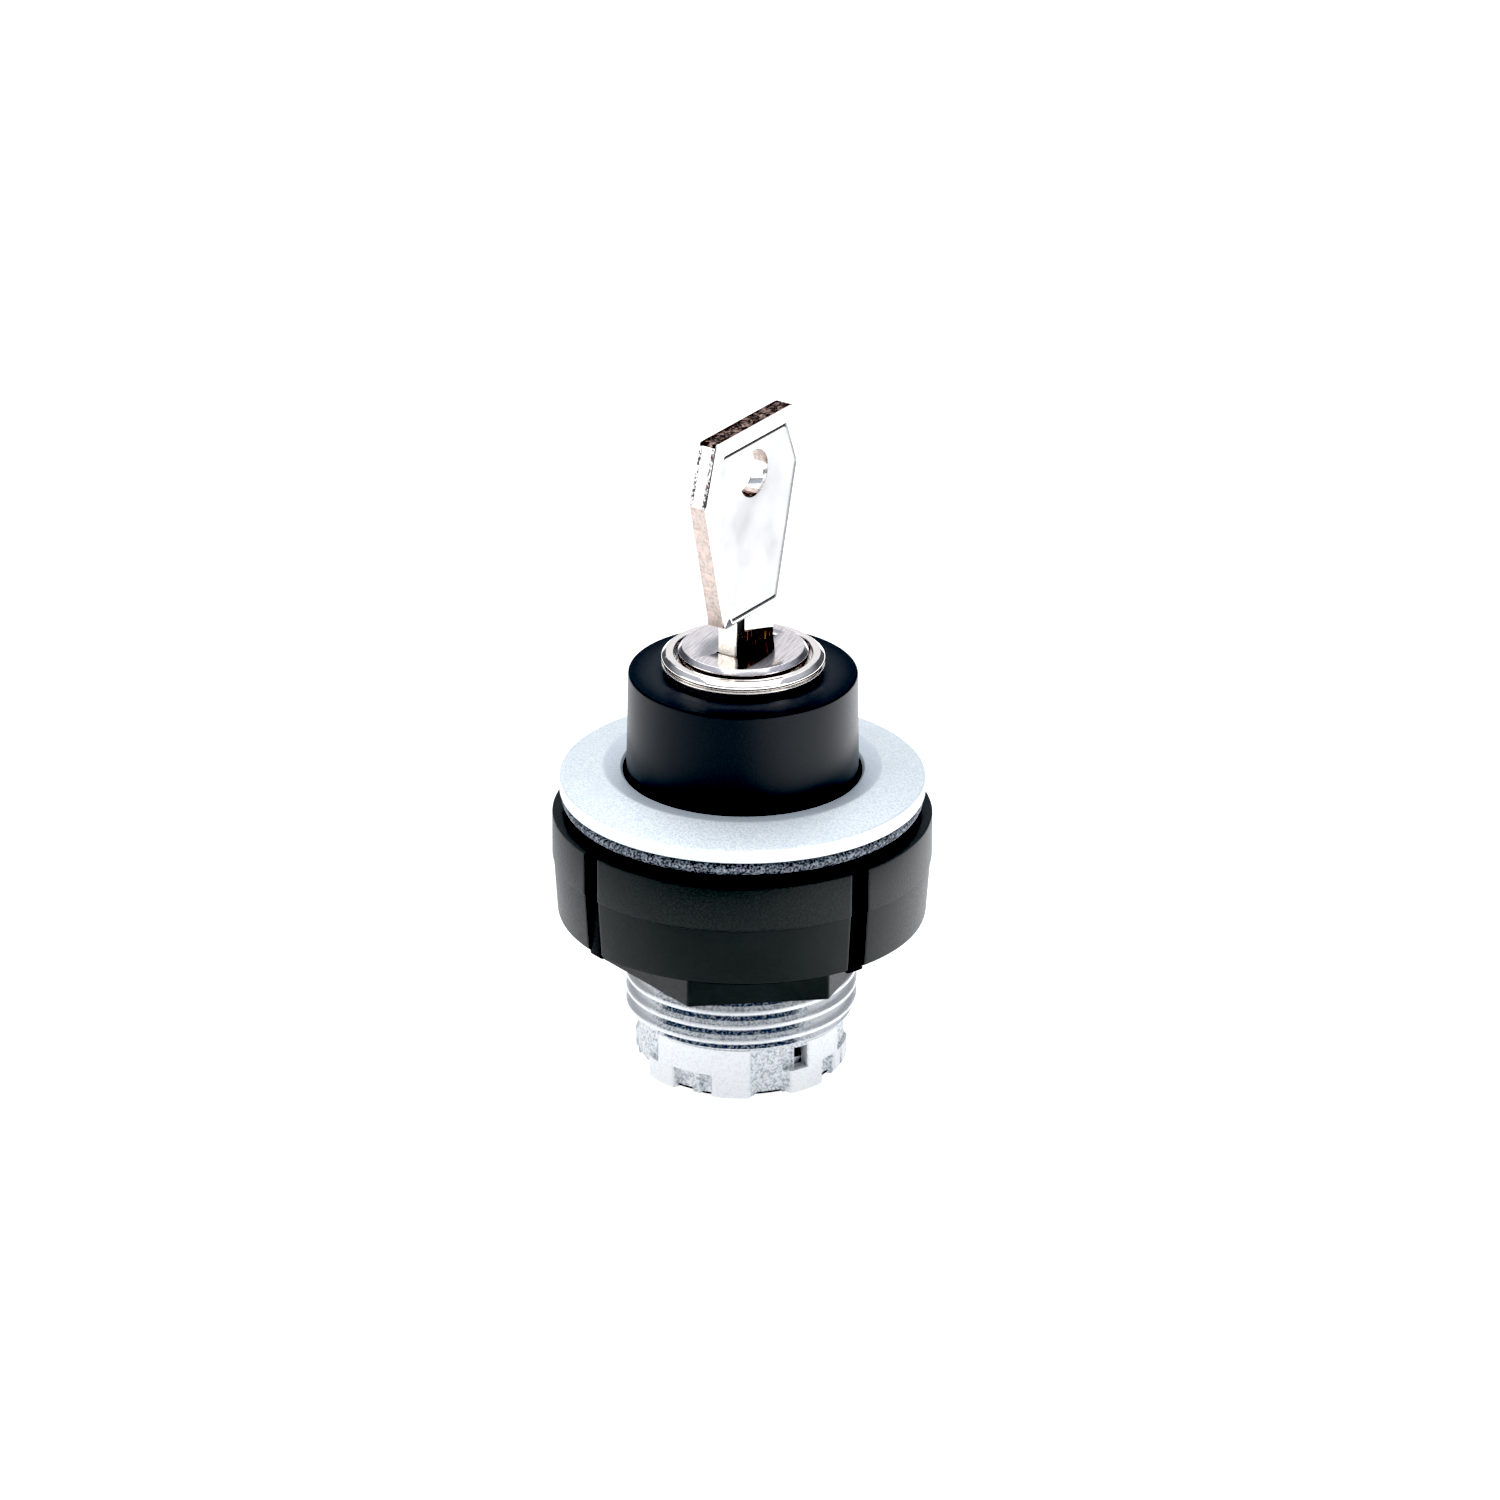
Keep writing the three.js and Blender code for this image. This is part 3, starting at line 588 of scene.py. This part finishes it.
zinc = cast_zinc()
silver = satin_silver()
ring_black = ring_plastic()
holder_black = holder_plastic()
rubber = seal_rubber()
lock_nickel = nickel("lock_nickel", (0.95, 0.9, 0.85), 0.06)
key_nickel = nickel("key_nickel", (0.82, 0.81, 0.79), 0.12, 0.2, 0.1)
key_panel = nickel("key_panel", (0.46, 0.46, 0.46), 0.36, 0.15, 0.03)
lock_face = brushed_face()
key_side = cut_edge("key_side", (0.54, 0.47, 0.43), (0.46, 0.375, 0.32), 0.5, 0.3, 0.02)
key_end = cut_edge("key_end", (0.88, 0.84, 0.76), (0.78, 0.72, 0.62), 0.56, 0.3, 0.01)
key_face = blade_face()
key_torn = cut_edge("key_torn", (0.93, 0.9, 0.88), (0.02, 0.015, 0.012), 0.46, 0.3, 0.08)
key_top = cut_edge("key_top", (0.02, 0.014, 0.011), (0.42, 0.29, 0.24), 0.53, 0.35, 0.1)
key_rim = cut_edge("key_rim", (0.03, 0.02, 0.016), (0.3, 0.19, 0.15), 0.6, 0.5, 0.05)
key_groove = groove_shade()
brass = plain_metal("brass", (0.78, 0.6, 0.3), 0.3)
steel = plain_metal("spring_steel", (0.66, 0.67, 0.69), 0.28)
cam_white = acetal("cam_plastic", (0.85, 0.83, 0.76))
plate_black = black_plastic("plate_plastic", (0.03, 0.031, 0.034), 0.5, 0.25, 0.02)
inner_rubber = black_plastic("inner_rubber", (0.015, 0.015, 0.015), 0.7, 0.3, 0.02)


# ---- Body ----
def half_angle(angle):
    """The angle from the middle of the crown's nearer half, -90 to 90."""
    return (angle - CROWN["facing"] + 90) % 180 - 90


def stretch(a, start, end, left, right):
    """1 between two angles and 0 outside, with walls that many degrees wide inside them."""
    return max(0.0, min(1.0, (a - start) / left, (end - a) / right))


def crown_radius(a, height):
    """The foot's outer radius at one place, before its edges are softened."""
    plain = CROWN["radius"]
    wall = 0.5  # degrees that a lug's side takes
    radius = plain
    for start, end, low, high in LUGS:
        if low <= height < high:
            radius = max(radius, plain + (CROWN["lug"] - plain) * stretch(a, start, end, wall, wall))
    for start, end, low, high, inner, left, right in RECESSES:
        if low <= height < high:
            radius -= (radius - inner) * stretch(a, start, end, left, right)
    return radius


def softened(a, height):
    """The crown's radius, averaged over a small patch so that the casting's edges are soft."""
    wide, tall = 0.35, 0.07  # half the patch, in degrees and millimetres
    patch = [crown_radius(a + da, height + dz) for da in (-wide, 0, wide) for dz in (-tall, 0, tall)]
    return sum(patch) / len(patch)


def foot_height(a):
    """How high the crown's lower edge stands."""
    for start, end, height in GAPS:
        if start < a < end:
            return height
    standing = any(low == 0 and start < a < end for start, end, low, _ in LUGS)
    return 0.0 if standing else CROWN["low"]


def cast_tone(radius):
    """How raw the foot's casting is: the lugs are worn bright and the rest is rough."""
    return 0.02 if radius > CROWN["radius"] + 0.15 else 0.5


def body_outline(angle):
    """(radius, height, tone) up the outside and down the inside."""
    a = half_angle(angle)
    foot = foot_height(a)
    bore, groove, top = CROWN["bore"], CROWN["groove"], CROWN["top"]
    low, high, pitch, minor = THREAD["low"], THREAD["high"], THREAD["pitch"], THREAD["minor"]
    rows = [(bore + 0.12, foot, 0.5), (9.4, foot, 0.5)]
    step = 0.1
    rounding = 0.16  # height of the lower edge's chamfer
    for i in range(1, round(top / step) + 1):
        height = max(i * step, foot)
        radius = softened(a, height) - max(0.0, rounding - (height - foot)) * 0.7
        rows.append((radius, height, cast_tone(radius)))
    # The thread's painted root shade and raw casting look fade out towards the sides.
    least, fade = ROOT_SHADE["least"], ROOT_SHADE["fade"]
    painted_light_mask = least + (1 - least) * stretch(a, ROOT_SHADE["start"], ROOT_SHADE["end"], fade, fade)
    rows.append((10.0, low - 0.03, 0.5))
    for turn in range(-1, math.ceil((high - low) / pitch) + 2):
        for share, radius, tone in THREAD_SHAPE:
            height = low + pitch * (turn + share + (angle % 360) / 360)
            end_taper = minor + min(height - low, high - height) * 1.1
            rows.append((max(min(radius, end_taper), minor), min(max(height, low), high), tone * painted_light_mask))
    hub = [(minor, high + 0.05), (minor, 24.0), (14.5, 24.0), (14.6, 24.1), (14.6, 29.0), (14.5, 29.1)]
    pocket = [(11.4, 29.1), (11.3, 29.0), (11.3, 25.6), (8.87, 25.6), (8.87, 15.3), (4.4, 15.3), (4.4, 13.9)]
    below_web = [
        (8.3, 13.9), (8.3, top), (bore, top), (bore, 3.3), (groove, 3.3), (groove, 2.4), (bore, 2.4),
        (bore, foot + 0.12),
    ]
    return rows + [(r, z, 0.3) for r, z in hub + pocket + below_web]


def body_casting():
    """The threaded body, with a window cut through its foot on each side."""
    marks = []
    for start, end, *_ in LUGS + GAPS:
        marks += [start - 0.1, start + 0.1, end - 0.1, end + 0.1]
    for start, end, _, _, _, left, right in RECESSES:
        marks += [start, start + left, end - right, end]
    edges = [mark + CROWN["facing"] + half for mark in marks for half in (0, 180)]
    body = loft_ring("body_casting", body_outline, fine_angles(0.5, edges), "housing", zinc,
                     replaces=("threaded_body",), slot="cast_zinc", sharp=38)
    middle = (WINDOW["start"] + WINDOW["end"]) / 2 + CROWN["facing"]
    width = math.radians(WINDOW["end"] - WINDOW["start"]) * CROWN["radius"]
    size = (WINDOW["depth"], width, WINDOW["high"] - WINDOW["low"])
    place = [(WINDOW["reach"], (WINDOW["low"] + WINDOW["high"]) / 2)]
    cut(body, [box_cutter(size, *stood(place, turn), turn) for turn in (middle, middle + 180)], sharp=38)


body_casting()

# ---- Bezel and seal ----
lathe("bezel_shell", [
    (14.7, 28.0, 0.05), (17.3, 28.0, 0.12), (17.3, 29.42, 0.18), (13.3, 30.4, 0.8), (13.05, 30.39, 0.1),
    (11.55, 30.2, 0.12), (11.3, 30.0, 0.1), (11.3, 29.2, 0), (14.7, 29.2, 0),
], "housing", silver, sides=360, replaces=("bezel",), slot="satin_bezel")
lathe("seal_lip", [
    (14.7, 23.4, 0.1), (15.15, 23.4, 0.15), (15.15, 26.35, 0.2), (16.4, 26.4, 0.3), (16.8, 26.6, 0.2),
    (17.05, 26.95, 0.2), (17.05, 27.4, 0.2), (16.72, 27.65, 0.15), (16.7, 27.95, 0.05), (14.7, 27.95, 0),
], "housing", rubber, sides=360, replaces=("front_seal",), slot="seal_rubber")


# ---- Clamp ring ----
SLOT_HALF = math.degrees(math.asin(RING["slot"] / RING["radius"]))


def ring_outline(angle):
    """(radius, height, tone): the hexagon, the wall with its four grooves, and the inside."""
    local = angle - RING_TURN
    aside = abs((local + 45) % 90 - 45)  # degrees from the middle of the nearest groove
    slotted = aside < SLOT_HALF + 0.02
    edge = 0.06 * max(0.0, 1 - abs(aside - SLOT_HALF - 0.1) / 0.3)  # rounds the groove's edges
    flat = RING["flat"]
    hexagon = min(flat / math.cos(math.radians((local % 60) - 30)), flat / math.cos(math.radians(30)) - 0.05)
    low, under = RING["low"], RING["tab"] if slotted else RING["low"]
    foot, parting, radius, top = RING["foot"], RING["parting"], RING["radius"], RING["top"]
    mouth, hex_low = RING["mouth"], RING["hex_low"]
    wall = [
        (foot - 0.25, under), (foot - 0.07, low + 0.06), (foot, low + 0.25),
        (radius - 0.12, parting - 0.06), (radius - 0.02, parting + 0.03), (radius, parting + 0.12),
        (radius, top - 0.2), (radius - 0.05, top - 0.07), (radius - 0.18, top),
    ]
    if slotted:
        wall = [(RING["floor"], max(z, under)) for _, z in wall]
    wall = [(r - edge, z) for r, z in wall]
    hub = [
        (11.3, hex_low), (hexagon - 0.3, hex_low), (hexagon - 0.08, hex_low + 0.06),
        (hexagon, hex_low + 0.25), (hexagon, low - 0.3), (hexagon + 0.08, low - 0.08), (hexagon + 0.3, low),
    ]
    inside = [
        (mouth + 0.15, top), (mouth, top - 0.12), (mouth, 17.6), (16.3, 17.4), (13.3, 17.4), (13.2, 17.5),
        (13.2, 21.5), (13.1, 21.6), (11.3, 21.6), (11.15, 21.45), (11.15, hex_low + 0.15),
    ]
    outline = [*hub, (mouth, low), (mouth + 0.02, under), *wall, *inside]
    # Tone 1 marks a groove's floor, which the material paints in shade.
    return [(r, z, float(abs(r - RING["floor"]) < 0.1 and z > RING["tab"] - 0.1)) for r, z in outline]


slot_marks = [RING_TURN + 90 * k + side * (SLOT_HALF + d) for k in range(4) for side in (-1, 1)
              for d in (-0.1, 0, 0.06, 0.18, 0.4)]
corner_marks = [RING_TURN + 60 * k + d for k in range(6) for d in (-0.4, 0, 0.4)]
loft_ring("ring_nut", ring_outline, fine_angles(1.0, slot_marks + corner_marks, 0.3), "ring", ring_black,
          replaces=("clamp_ring",), slot="ring_plastic", sharp=34)

# ---- Holder and lock ----
lathe("holder_cap", [
    (7.2, 15.5, 0.1), (8.72, 15.5, 0.2), (8.72, 20.6, 0), (7.82, 20.6, 0), (7.82, 22.4, 0), (8.72, 22.4, 0),
    (8.72, 25.8, 0.1), (11.06, 25.8, 0.1), (10.82, 40.0, 0.24), (6.75, 40.0, 0.1), (6.75, 37.0, 0),
    (9.3, 37.0, 0), (9.3, 30.0, 0), (7.2, 28.6, 0),
], "housing", holder_black, sides=288, replaces=("key_holder",), slot="holder_plastic")
lathe("lock_flange", [
    (4.75, 19.6, 0.1), (6.6, 19.6, 0.3), (6.6, 40.1, 0), (7.45, 40.1, 0), (7.55, 40.6, 0.1),
    (7.68, 40.8, 0.1), (7.7, 41.05, 0.1), (7.42, 41.12, 0.02), (7.42, 41.3, 0.02), (7.7, 41.34, 0.06),
    (7.7, 41.62, 0.2), (7.25, 42.0, 0.2), (6.55, 42.0, 0.12), (6.5, 41.0, 0.05), (4.75, 41.0, 0),
], "housing", lock_nickel, sides=256, replaces=("lock_stator",), slot="lock_nickel")
rotor = lathe("lock_plug", [
    (0, 18.0, 0), (4.6, 18.0, 0.3), (4.6, 41.1, 0), (6.1, 41.1, 0.1), (6.15, 42.2, 0.1), (5.75, 42.62, 0.1),
    (0, 42.62, 0),
], "barrel", lock_face, sides=192, replaces=("lock_rotor",), slot="lock_face")
lock_angle = math.radians(LOCK_TURN)
keyway = (-KEY["offset"] * math.sin(lock_angle), KEY["offset"] * math.cos(lock_angle), KEYWAY["middle"])
cut(rotor, [box_cutter((KEYWAY["width"], KEYWAY["length"], KEYWAY["depth"]), keyway, LOCK_TURN)], bevel=0.06)


# ---- Key ----
def bow_outline(side, above, below, fillet):
    """The bow's outline in (y, z), drawn in by its sides, top and bottom."""
    low, mid, top = BOW["half"]
    corners = [
        (low - side, BOW["bottom"] + below, fillet * 0.7), (mid - side, BOW["shoulder"], fillet * 2),
        (top - side, BOW["top"] - above, fillet), (side - top, BOW["top"] - above, fillet),
        (side - mid, BOW["shoulder"], fillet * 2), (side - low, BOW["bottom"] + below, fillet * 0.7),
    ]
    return rounded(corners, 6)


def reach(outline, angle):
    """How far the outline is from the key-ring hole's centre, in one direction."""
    dy, dz = math.cos(angle), math.sin(angle)
    best = 0.0
    for i, (y0, z0) in enumerate(outline):
        y1, z1 = outline[(i + 1) % len(outline)]
        ey, ez = y1 - y0, z1 - z0
        across = dy * ez - dz * ey
        if abs(across) < 1e-12:
            continue
        py, pz = y0, z0 - HOLE["height"]
        distance = (py * ez - pz * ey) / across
        share = (py * dz - pz * dy) / across
        if distance > 0 and -1e-9 <= share <= 1 + 1e-9:
            best = max(best, distance)
    return best


def turned_key(vertices):
    """From the key's own axes, thickness along X, to where it stands in the lock."""
    c, s, offset = math.cos(lock_angle), math.sin(lock_angle), KEY["offset"]
    return [(x * c - (y + offset) * s, x * s + (y + offset) * c, z) for x, y, z in vertices]


BOW_MATERIALS = [key_nickel, key_panel, key_groove, key_side, key_torn, key_top, key_rim]


def key_bow():
    """The bow as loops from the hole's front rim, out round its edge and back to the hole's rear rim."""
    half, radius = KEY["half"], HOLE["radius"]
    sunk = half - PANEL["depth"]
    side, above, below = PANEL["side"], PANEL["top"], PANEL["bottom"]
    plates = [  # outline, thickness from the middle, material of the band that ends at it
        (bow_outline(side + 0.03, above + 0.36, below + 0.2, 0.3), sunk, "panel"),
        (bow_outline(side, above, below, 0.3), sunk, "line"),
        (bow_outline(side - 0.09, above - 0.04, below - 0.06, 0.32), half - 0.02, "wall"),
        (bow_outline(side - 0.15, above - 0.1, below - 0.12, 0.35), half, "frame"),
        (bow_outline(0.16, 0.16, 0.16, 0.5), half, "frame"),
        (bow_outline(0.05, 0.05, 0.05, 0.5), half - 0.04, "frame"),
        (bow_outline(0, 0, 0, 0.5), half - 0.16, "frame"),
        (bow_outline(0, 0, 0, 0.5), half - 0.5, "border"),
    ]
    angles = {math.radians(2 * i) for i in range(180)}
    for outline, _, _ in plates:
        angles |= {math.atan2(z - HOLE["height"], y) % TAU for y, z in outline}
    angles = sorted({round(a, 5) for a in angles})
    count = len(angles)
    front = [
        ([radius] * count, sunk - 0.12, "hole"), ([radius + 0.03] * count, sunk - 0.03, "hole"),
        ([radius + 0.12] * count, sunk, "panel"),
    ]
    front += [([reach(outline, a) for a in angles], x, kind) for outline, x, kind in plates]
    loops = front + [(distances, -x, kind) for distances, x, kind in reversed(front)]
    front_kinds = [kind for *_, kind in front[1:]]
    bands = front_kinds + ["edge"] + front_kinds[::-1] + ["hole"]
    vertices = []
    for distances, x, _ in loops:
        for a, d in zip(angles, distances):
            vertices.append((x, d * math.cos(a), HOLE["height"] + d * math.sin(a)))
    faces = skin(count, len(loops), True)
    marks = []
    for i, face in enumerate(faces):
        height = sum(vertices[corner][2] for corner in face) / 4
        angle = math.degrees(angles[i % count])
        marks.append(BOW_MATERIALS.index(bow_material(bands[i // count], height, angle)))
    return vertices, faces, marks


def bow_material(kind, height, angle):
    """The material of a face of the bow, by its band, its height and its angle round the key-ring hole."""
    at_top = height > BOW["top"] - 0.3
    if kind in ("panel", "wall"):
        return key_panel
    if kind == "line":
        # Painted shade: the line under the panel's top step and over its bottom step.
        by_top = height > BOW["top"] - PANEL["top"] - 0.5
        by_bottom = height < BOW["bottom"] + PANEL["bottom"] + 0.3
        return key_groove if by_top or by_bottom else key_panel
    if kind == "edge":
        if at_top:
            return key_top
        return key_side if height < BOW["shoulder"] else key_nickel
    if kind == "border":
        if at_top:
            return key_rim
        return key_torn if height > BOW["shoulder"] else key_side
    if kind == "hole":
        if 235 < angle < 284:
            return key_rim
        return key_side if 5 < angle < 90 or 284 <= angle < 296 else key_nickel
    return key_nickel


# The materials of the blade, and which of them each strip round its section has
# key_groove paints shade into the milled grooves on both faces.
BLADE_MATERIALS = [key_face, key_groove, key_end]
BLADE_MARKS = [2, 2, 1, 1, 1, 0, 0, 2, 0, 0, 1, 1, 1, 0, 0, 2]


def key_blade():
    """The blade as level sections: a milled groove on each face, and the wafer cuts along one edge."""
    half, tip, top = KEY["width"] / 2, KEY["tip"], BOW["bottom"] + 0.06
    floor_half = CUTS["half_floor"]
    cuts = {CUTS["first"] + CUTS["apart"] * i: depth for i, depth in enumerate(CUTS["depths"])}
    levels = {tip, tip + 0.4, tip + 1.0, tip + KEY["point"], 40.0, 43.0, BOW["bottom"] - 0.02, top}
    for height, depth in cuts.items():
        levels |= {height - floor_half - depth, height - floor_half}
        levels |= {height + floor_half, height + floor_half + depth}
    vertices = []
    rows = sorted(levels)
    for z in rows:
        t = KEY["half"] - (0.02 if z > BOW["bottom"] else 0)
        point = max(0.0, KEY["point"] - (z - tip))
        right = half - point
        for height, depth in cuts.items():
            bite = depth - max(0.0, abs(z - height) - floor_half)
            right = min(right, half - max(0.0, bite))
        left = -half + point
        section = [  # the front with its shallow groove, then the back with its deep one
            (t - 0.1, left), (t, left + 0.1), (t, -2.95), (t - 0.12, -2.9), (t - 0.12, -1.7), (t, -1.64),
            (t, right - 0.1), (t - 0.1, right),
            (-t + 0.1, right), (-t, right - 0.1), (-t, 1.95), (-t + 0.45, 1.8), (-t + 0.45, 0.6), (-t, 0.45),
            (-t, left + 0.1), (-t + 0.1, left),
        ]
        vertices += [(x, min(max(y, left), right), z) for x, y in section]
    return vertices, skin(len(BLADE_MARKS), len(rows)), BLADE_MARKS * (len(rows) - 1) + [0, 0]


KEY_PIECES = [("key_bow", key_bow, BOW_MATERIALS), ("key_blade", key_blade, BLADE_MATERIALS)]
for name, shape, materials in KEY_PIECES:
    vertices, faces, marks = shape()
    piece(name, turned_key(vertices), faces, "key", materials,
          replaces=("key",), slot="key_nickel", sharp=24, marks=marks)


# ---- Inside the foot ----
def guide_plate():
    """The plate the plungers slide in, with their holes and the cam's."""
    low, high, radius = PLATE["low"], PLATE["high"], PLATE["radius"]
    plate = lathe("plunger_guide", [(0, low, 0), (radius, low, 0.25), (radius, high, 0.1), (0, high, 0)],
                  "housing", plate_black, sides=160, replaces=("guide_plate",), slot="plate_plastic")
    start, end = 3, 6  # past both faces of the plate
    cutters = [rod_cutter(PLATE["cam_hole"], start, end, 0)]
    for x in (PLUNGER_REACH, -PLUNGER_REACH):
        cutters.append(rod_cutter(PLATE["plunger_hole"], start, end, x))
    cut(plate, cutters, bevel=0.12)


def clip_ring():
    """The snap ring as square wire bent to an open circle."""
    inner, outer, low, high = CLIP["inner"], CLIP["outer"], CLIP["low"], CLIP["high"]
    section = rounded([(inner, low, 0.1), (outer, low, 0.1), (outer, high, 0.1), (inner, high, 0.1)], 3)
    steps = 160
    angles = [CLIP["start"] + i * CLIP["span"] / steps for i in range(steps + 1)]
    vertices = [point for angle in angles for point in stood(section, angle)]
    piece("retaining_ring", vertices, skin(len(section), len(angles)), "housing", steel,
          replaces=("plate_clip",), slot="spring_steel")


def coil_line(x, steps=20):
    """The centre line of a plunger's spring, with that many points to a turn."""
    radius, low, rise, turns = SPRING["radius"], SPRING["low"], SPRING["rise"], SPRING["turns"]
    line = []
    for i in range(turns * steps + 1):
        t = i / steps
        line.append((x + radius * math.cos(TAU * t), radius * math.sin(TAU * t), low + rise * t / turns))
    return line


guide_plate()
clip_ring()
for side, label in ((1, "right"), (-1, "left")):
    line = coil_line(side * PLUNGER_REACH)
    spring = swept(f"return_spring_{label}", line, SPRING["wire"], "housing", steel,
                   replaces=(f"pusher_spring_{label}",), slot="spring_steel", sharp=60)
    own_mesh(spring)

# The CAD's own inner pieces only get better materials
INNER_PIECES = [
    (cam_white, ["switching_cam", "pusher_right", "pusher_left"]),
    (inner_rubber, ["holder_o_ring", "lock_gasket"]),
    (brass, ["lock_nut", "wafer_1", "wafer_2", "wafer_3", "wafer_4", "wafer_5"]),
    (steel, ["rotor_clip", "thrust_washer", "stop_pin", "detent_ball", "detent_spring"]),
]
for material, nodes in INNER_PIECES:
    for node in nodes:
        target = frame["nodes"][node]
        target.data.materials.clear()
        target.data.materials.append(material)


# ---- Floor, light and camera ----
def floor():
    """A white light table, brighter on its right-hand side."""
    bpy.ops.mesh.primitive_plane_add(size=6, location=(0, 0, 0))
    made = bpy.context.object
    made.name = "floor"
    paint = Paint("floor", (0.9, 0.9, 0.9), 0.9)
    paint.vary(paint.ramp(paint.noise(400, 2), 0.4, 0.6), (0.92, 0.92, 0.92), 0.5)
    paint.shader.inputs["Emission Color"].default_value = (1, 1, 1, 1)
    rising = paint.ramp(paint.axis("X"), 0.015, 0.08, 0.74, 2.2)
    falling = paint.ramp(paint.axis("X"), 0.09, 0.12, 1, 0.6)
    paint.link(paint.times(rising, falling), paint.shader.inputs["Emission Strength"])
    made.data.materials.append(paint.material)


def softbox(name, azimuth, elevation, distance, size, brightness, color=(1, 1, 1)):
    """A rectangular panel that faces the object; its brightness is what a mirror would show of it."""
    aim = Vector((0, 0, 0.03))
    a, e = math.radians(azimuth), math.radians(elevation)
    place = aim + distance * Vector((math.cos(a) * math.cos(e), math.sin(a) * math.cos(e), math.sin(e)))
    light = bpy.data.lights.new(name, "AREA")
    light.shape = "RECTANGLE"
    light.size, light.size_y = size
    watts = 4  # per square metre of a panel whose brightness is 1
    light.energy = brightness * watts * size[0] * size[1]
    light.color = color
    made = bpy.data.objects.new(name, light)
    bpy.context.scene.collection.objects.link(made)
    made.location = place
    made.rotation_euler = (aim - place).to_track_quat("-Z", "Y").to_euler()


def world(color, zenith):
    """A dim room under a bright ceiling, which is `zenith` times as bright."""
    made = bpy.data.worlds.new("studio")
    bpy.context.scene.world = made
    made.use_nodes = True
    nodes, links = made.node_tree.nodes, made.node_tree.links
    nodes["Background"].inputs["Color"].default_value = (*color, 1)
    direction = nodes.new("ShaderNodeTexCoord")
    parts = nodes.new("ShaderNodeSeparateXYZ")
    ceiling = nodes.new("ShaderNodeMapRange")
    for socket, number in zip(("From Min", "From Max", "To Min", "To Max"), (0.4, 0.7, 1, zenith)):
        ceiling.inputs[socket].default_value = number
    links.new(direction.outputs["Generated"], parts.inputs["Vector"])
    links.new(parts.outputs["Z"], ceiling.inputs["Value"])
    links.new(ceiling.outputs["Result"], nodes["Background"].inputs["Strength"])


def camera(distance, elevation, lens, aim, roll):
    """A camera in front of the object. The lens is in millimetres, for a sensor 36 mm wide."""
    data = bpy.data.cameras.new("camera")
    data.lens = lens
    data.sensor_width = 36
    data.clip_start = 0.01
    made = bpy.data.objects.new("camera", data)
    bpy.context.scene.collection.objects.link(made)
    back = Vector((0, -math.cos(math.radians(elevation)), math.sin(math.radians(elevation))))
    made.location = Vector(aim) + distance * back
    made.rotation_euler = (-back).to_track_quat("-Z", "Y").to_euler()
    made.rotation_euler.rotate_axis("Z", math.radians(roll))
    bpy.context.scene.camera = made


def contrast(black):
    """Prints like a catalogue picture: the darkest tones go to black."""
    view = bpy.context.scene.view_settings
    view.view_transform = "Standard"
    view.use_curve_mapping = True
    view.curve_mapping.black_level = (black, black, black)
    view.curve_mapping.update()


floor()
world((0.12, 0.13, 0.15), zenith=4.5)
softbox("overhead", azimuth=100, elevation=77, distance=0.9, size=(1.1, 1.4), brightness=1.15)
softbox("low_back", azimuth=95, elevation=22, distance=0.9, size=(0.9, 0.25), brightness=0.62,
        color=(0.95, 0.96, 1))
softbox("left", azimuth=194, elevation=19, distance=0.8, size=(0.55, 0.5), brightness=1.5)
softbox("right", azimuth=-38, elevation=12, distance=0.8, size=(0.3, 0.3), brightness=2.4)
camera(distance=0.9, elevation=24.15, lens=229, aim=(0.00069, 0, 0.03184), roll=0.33)
contrast(0.045)
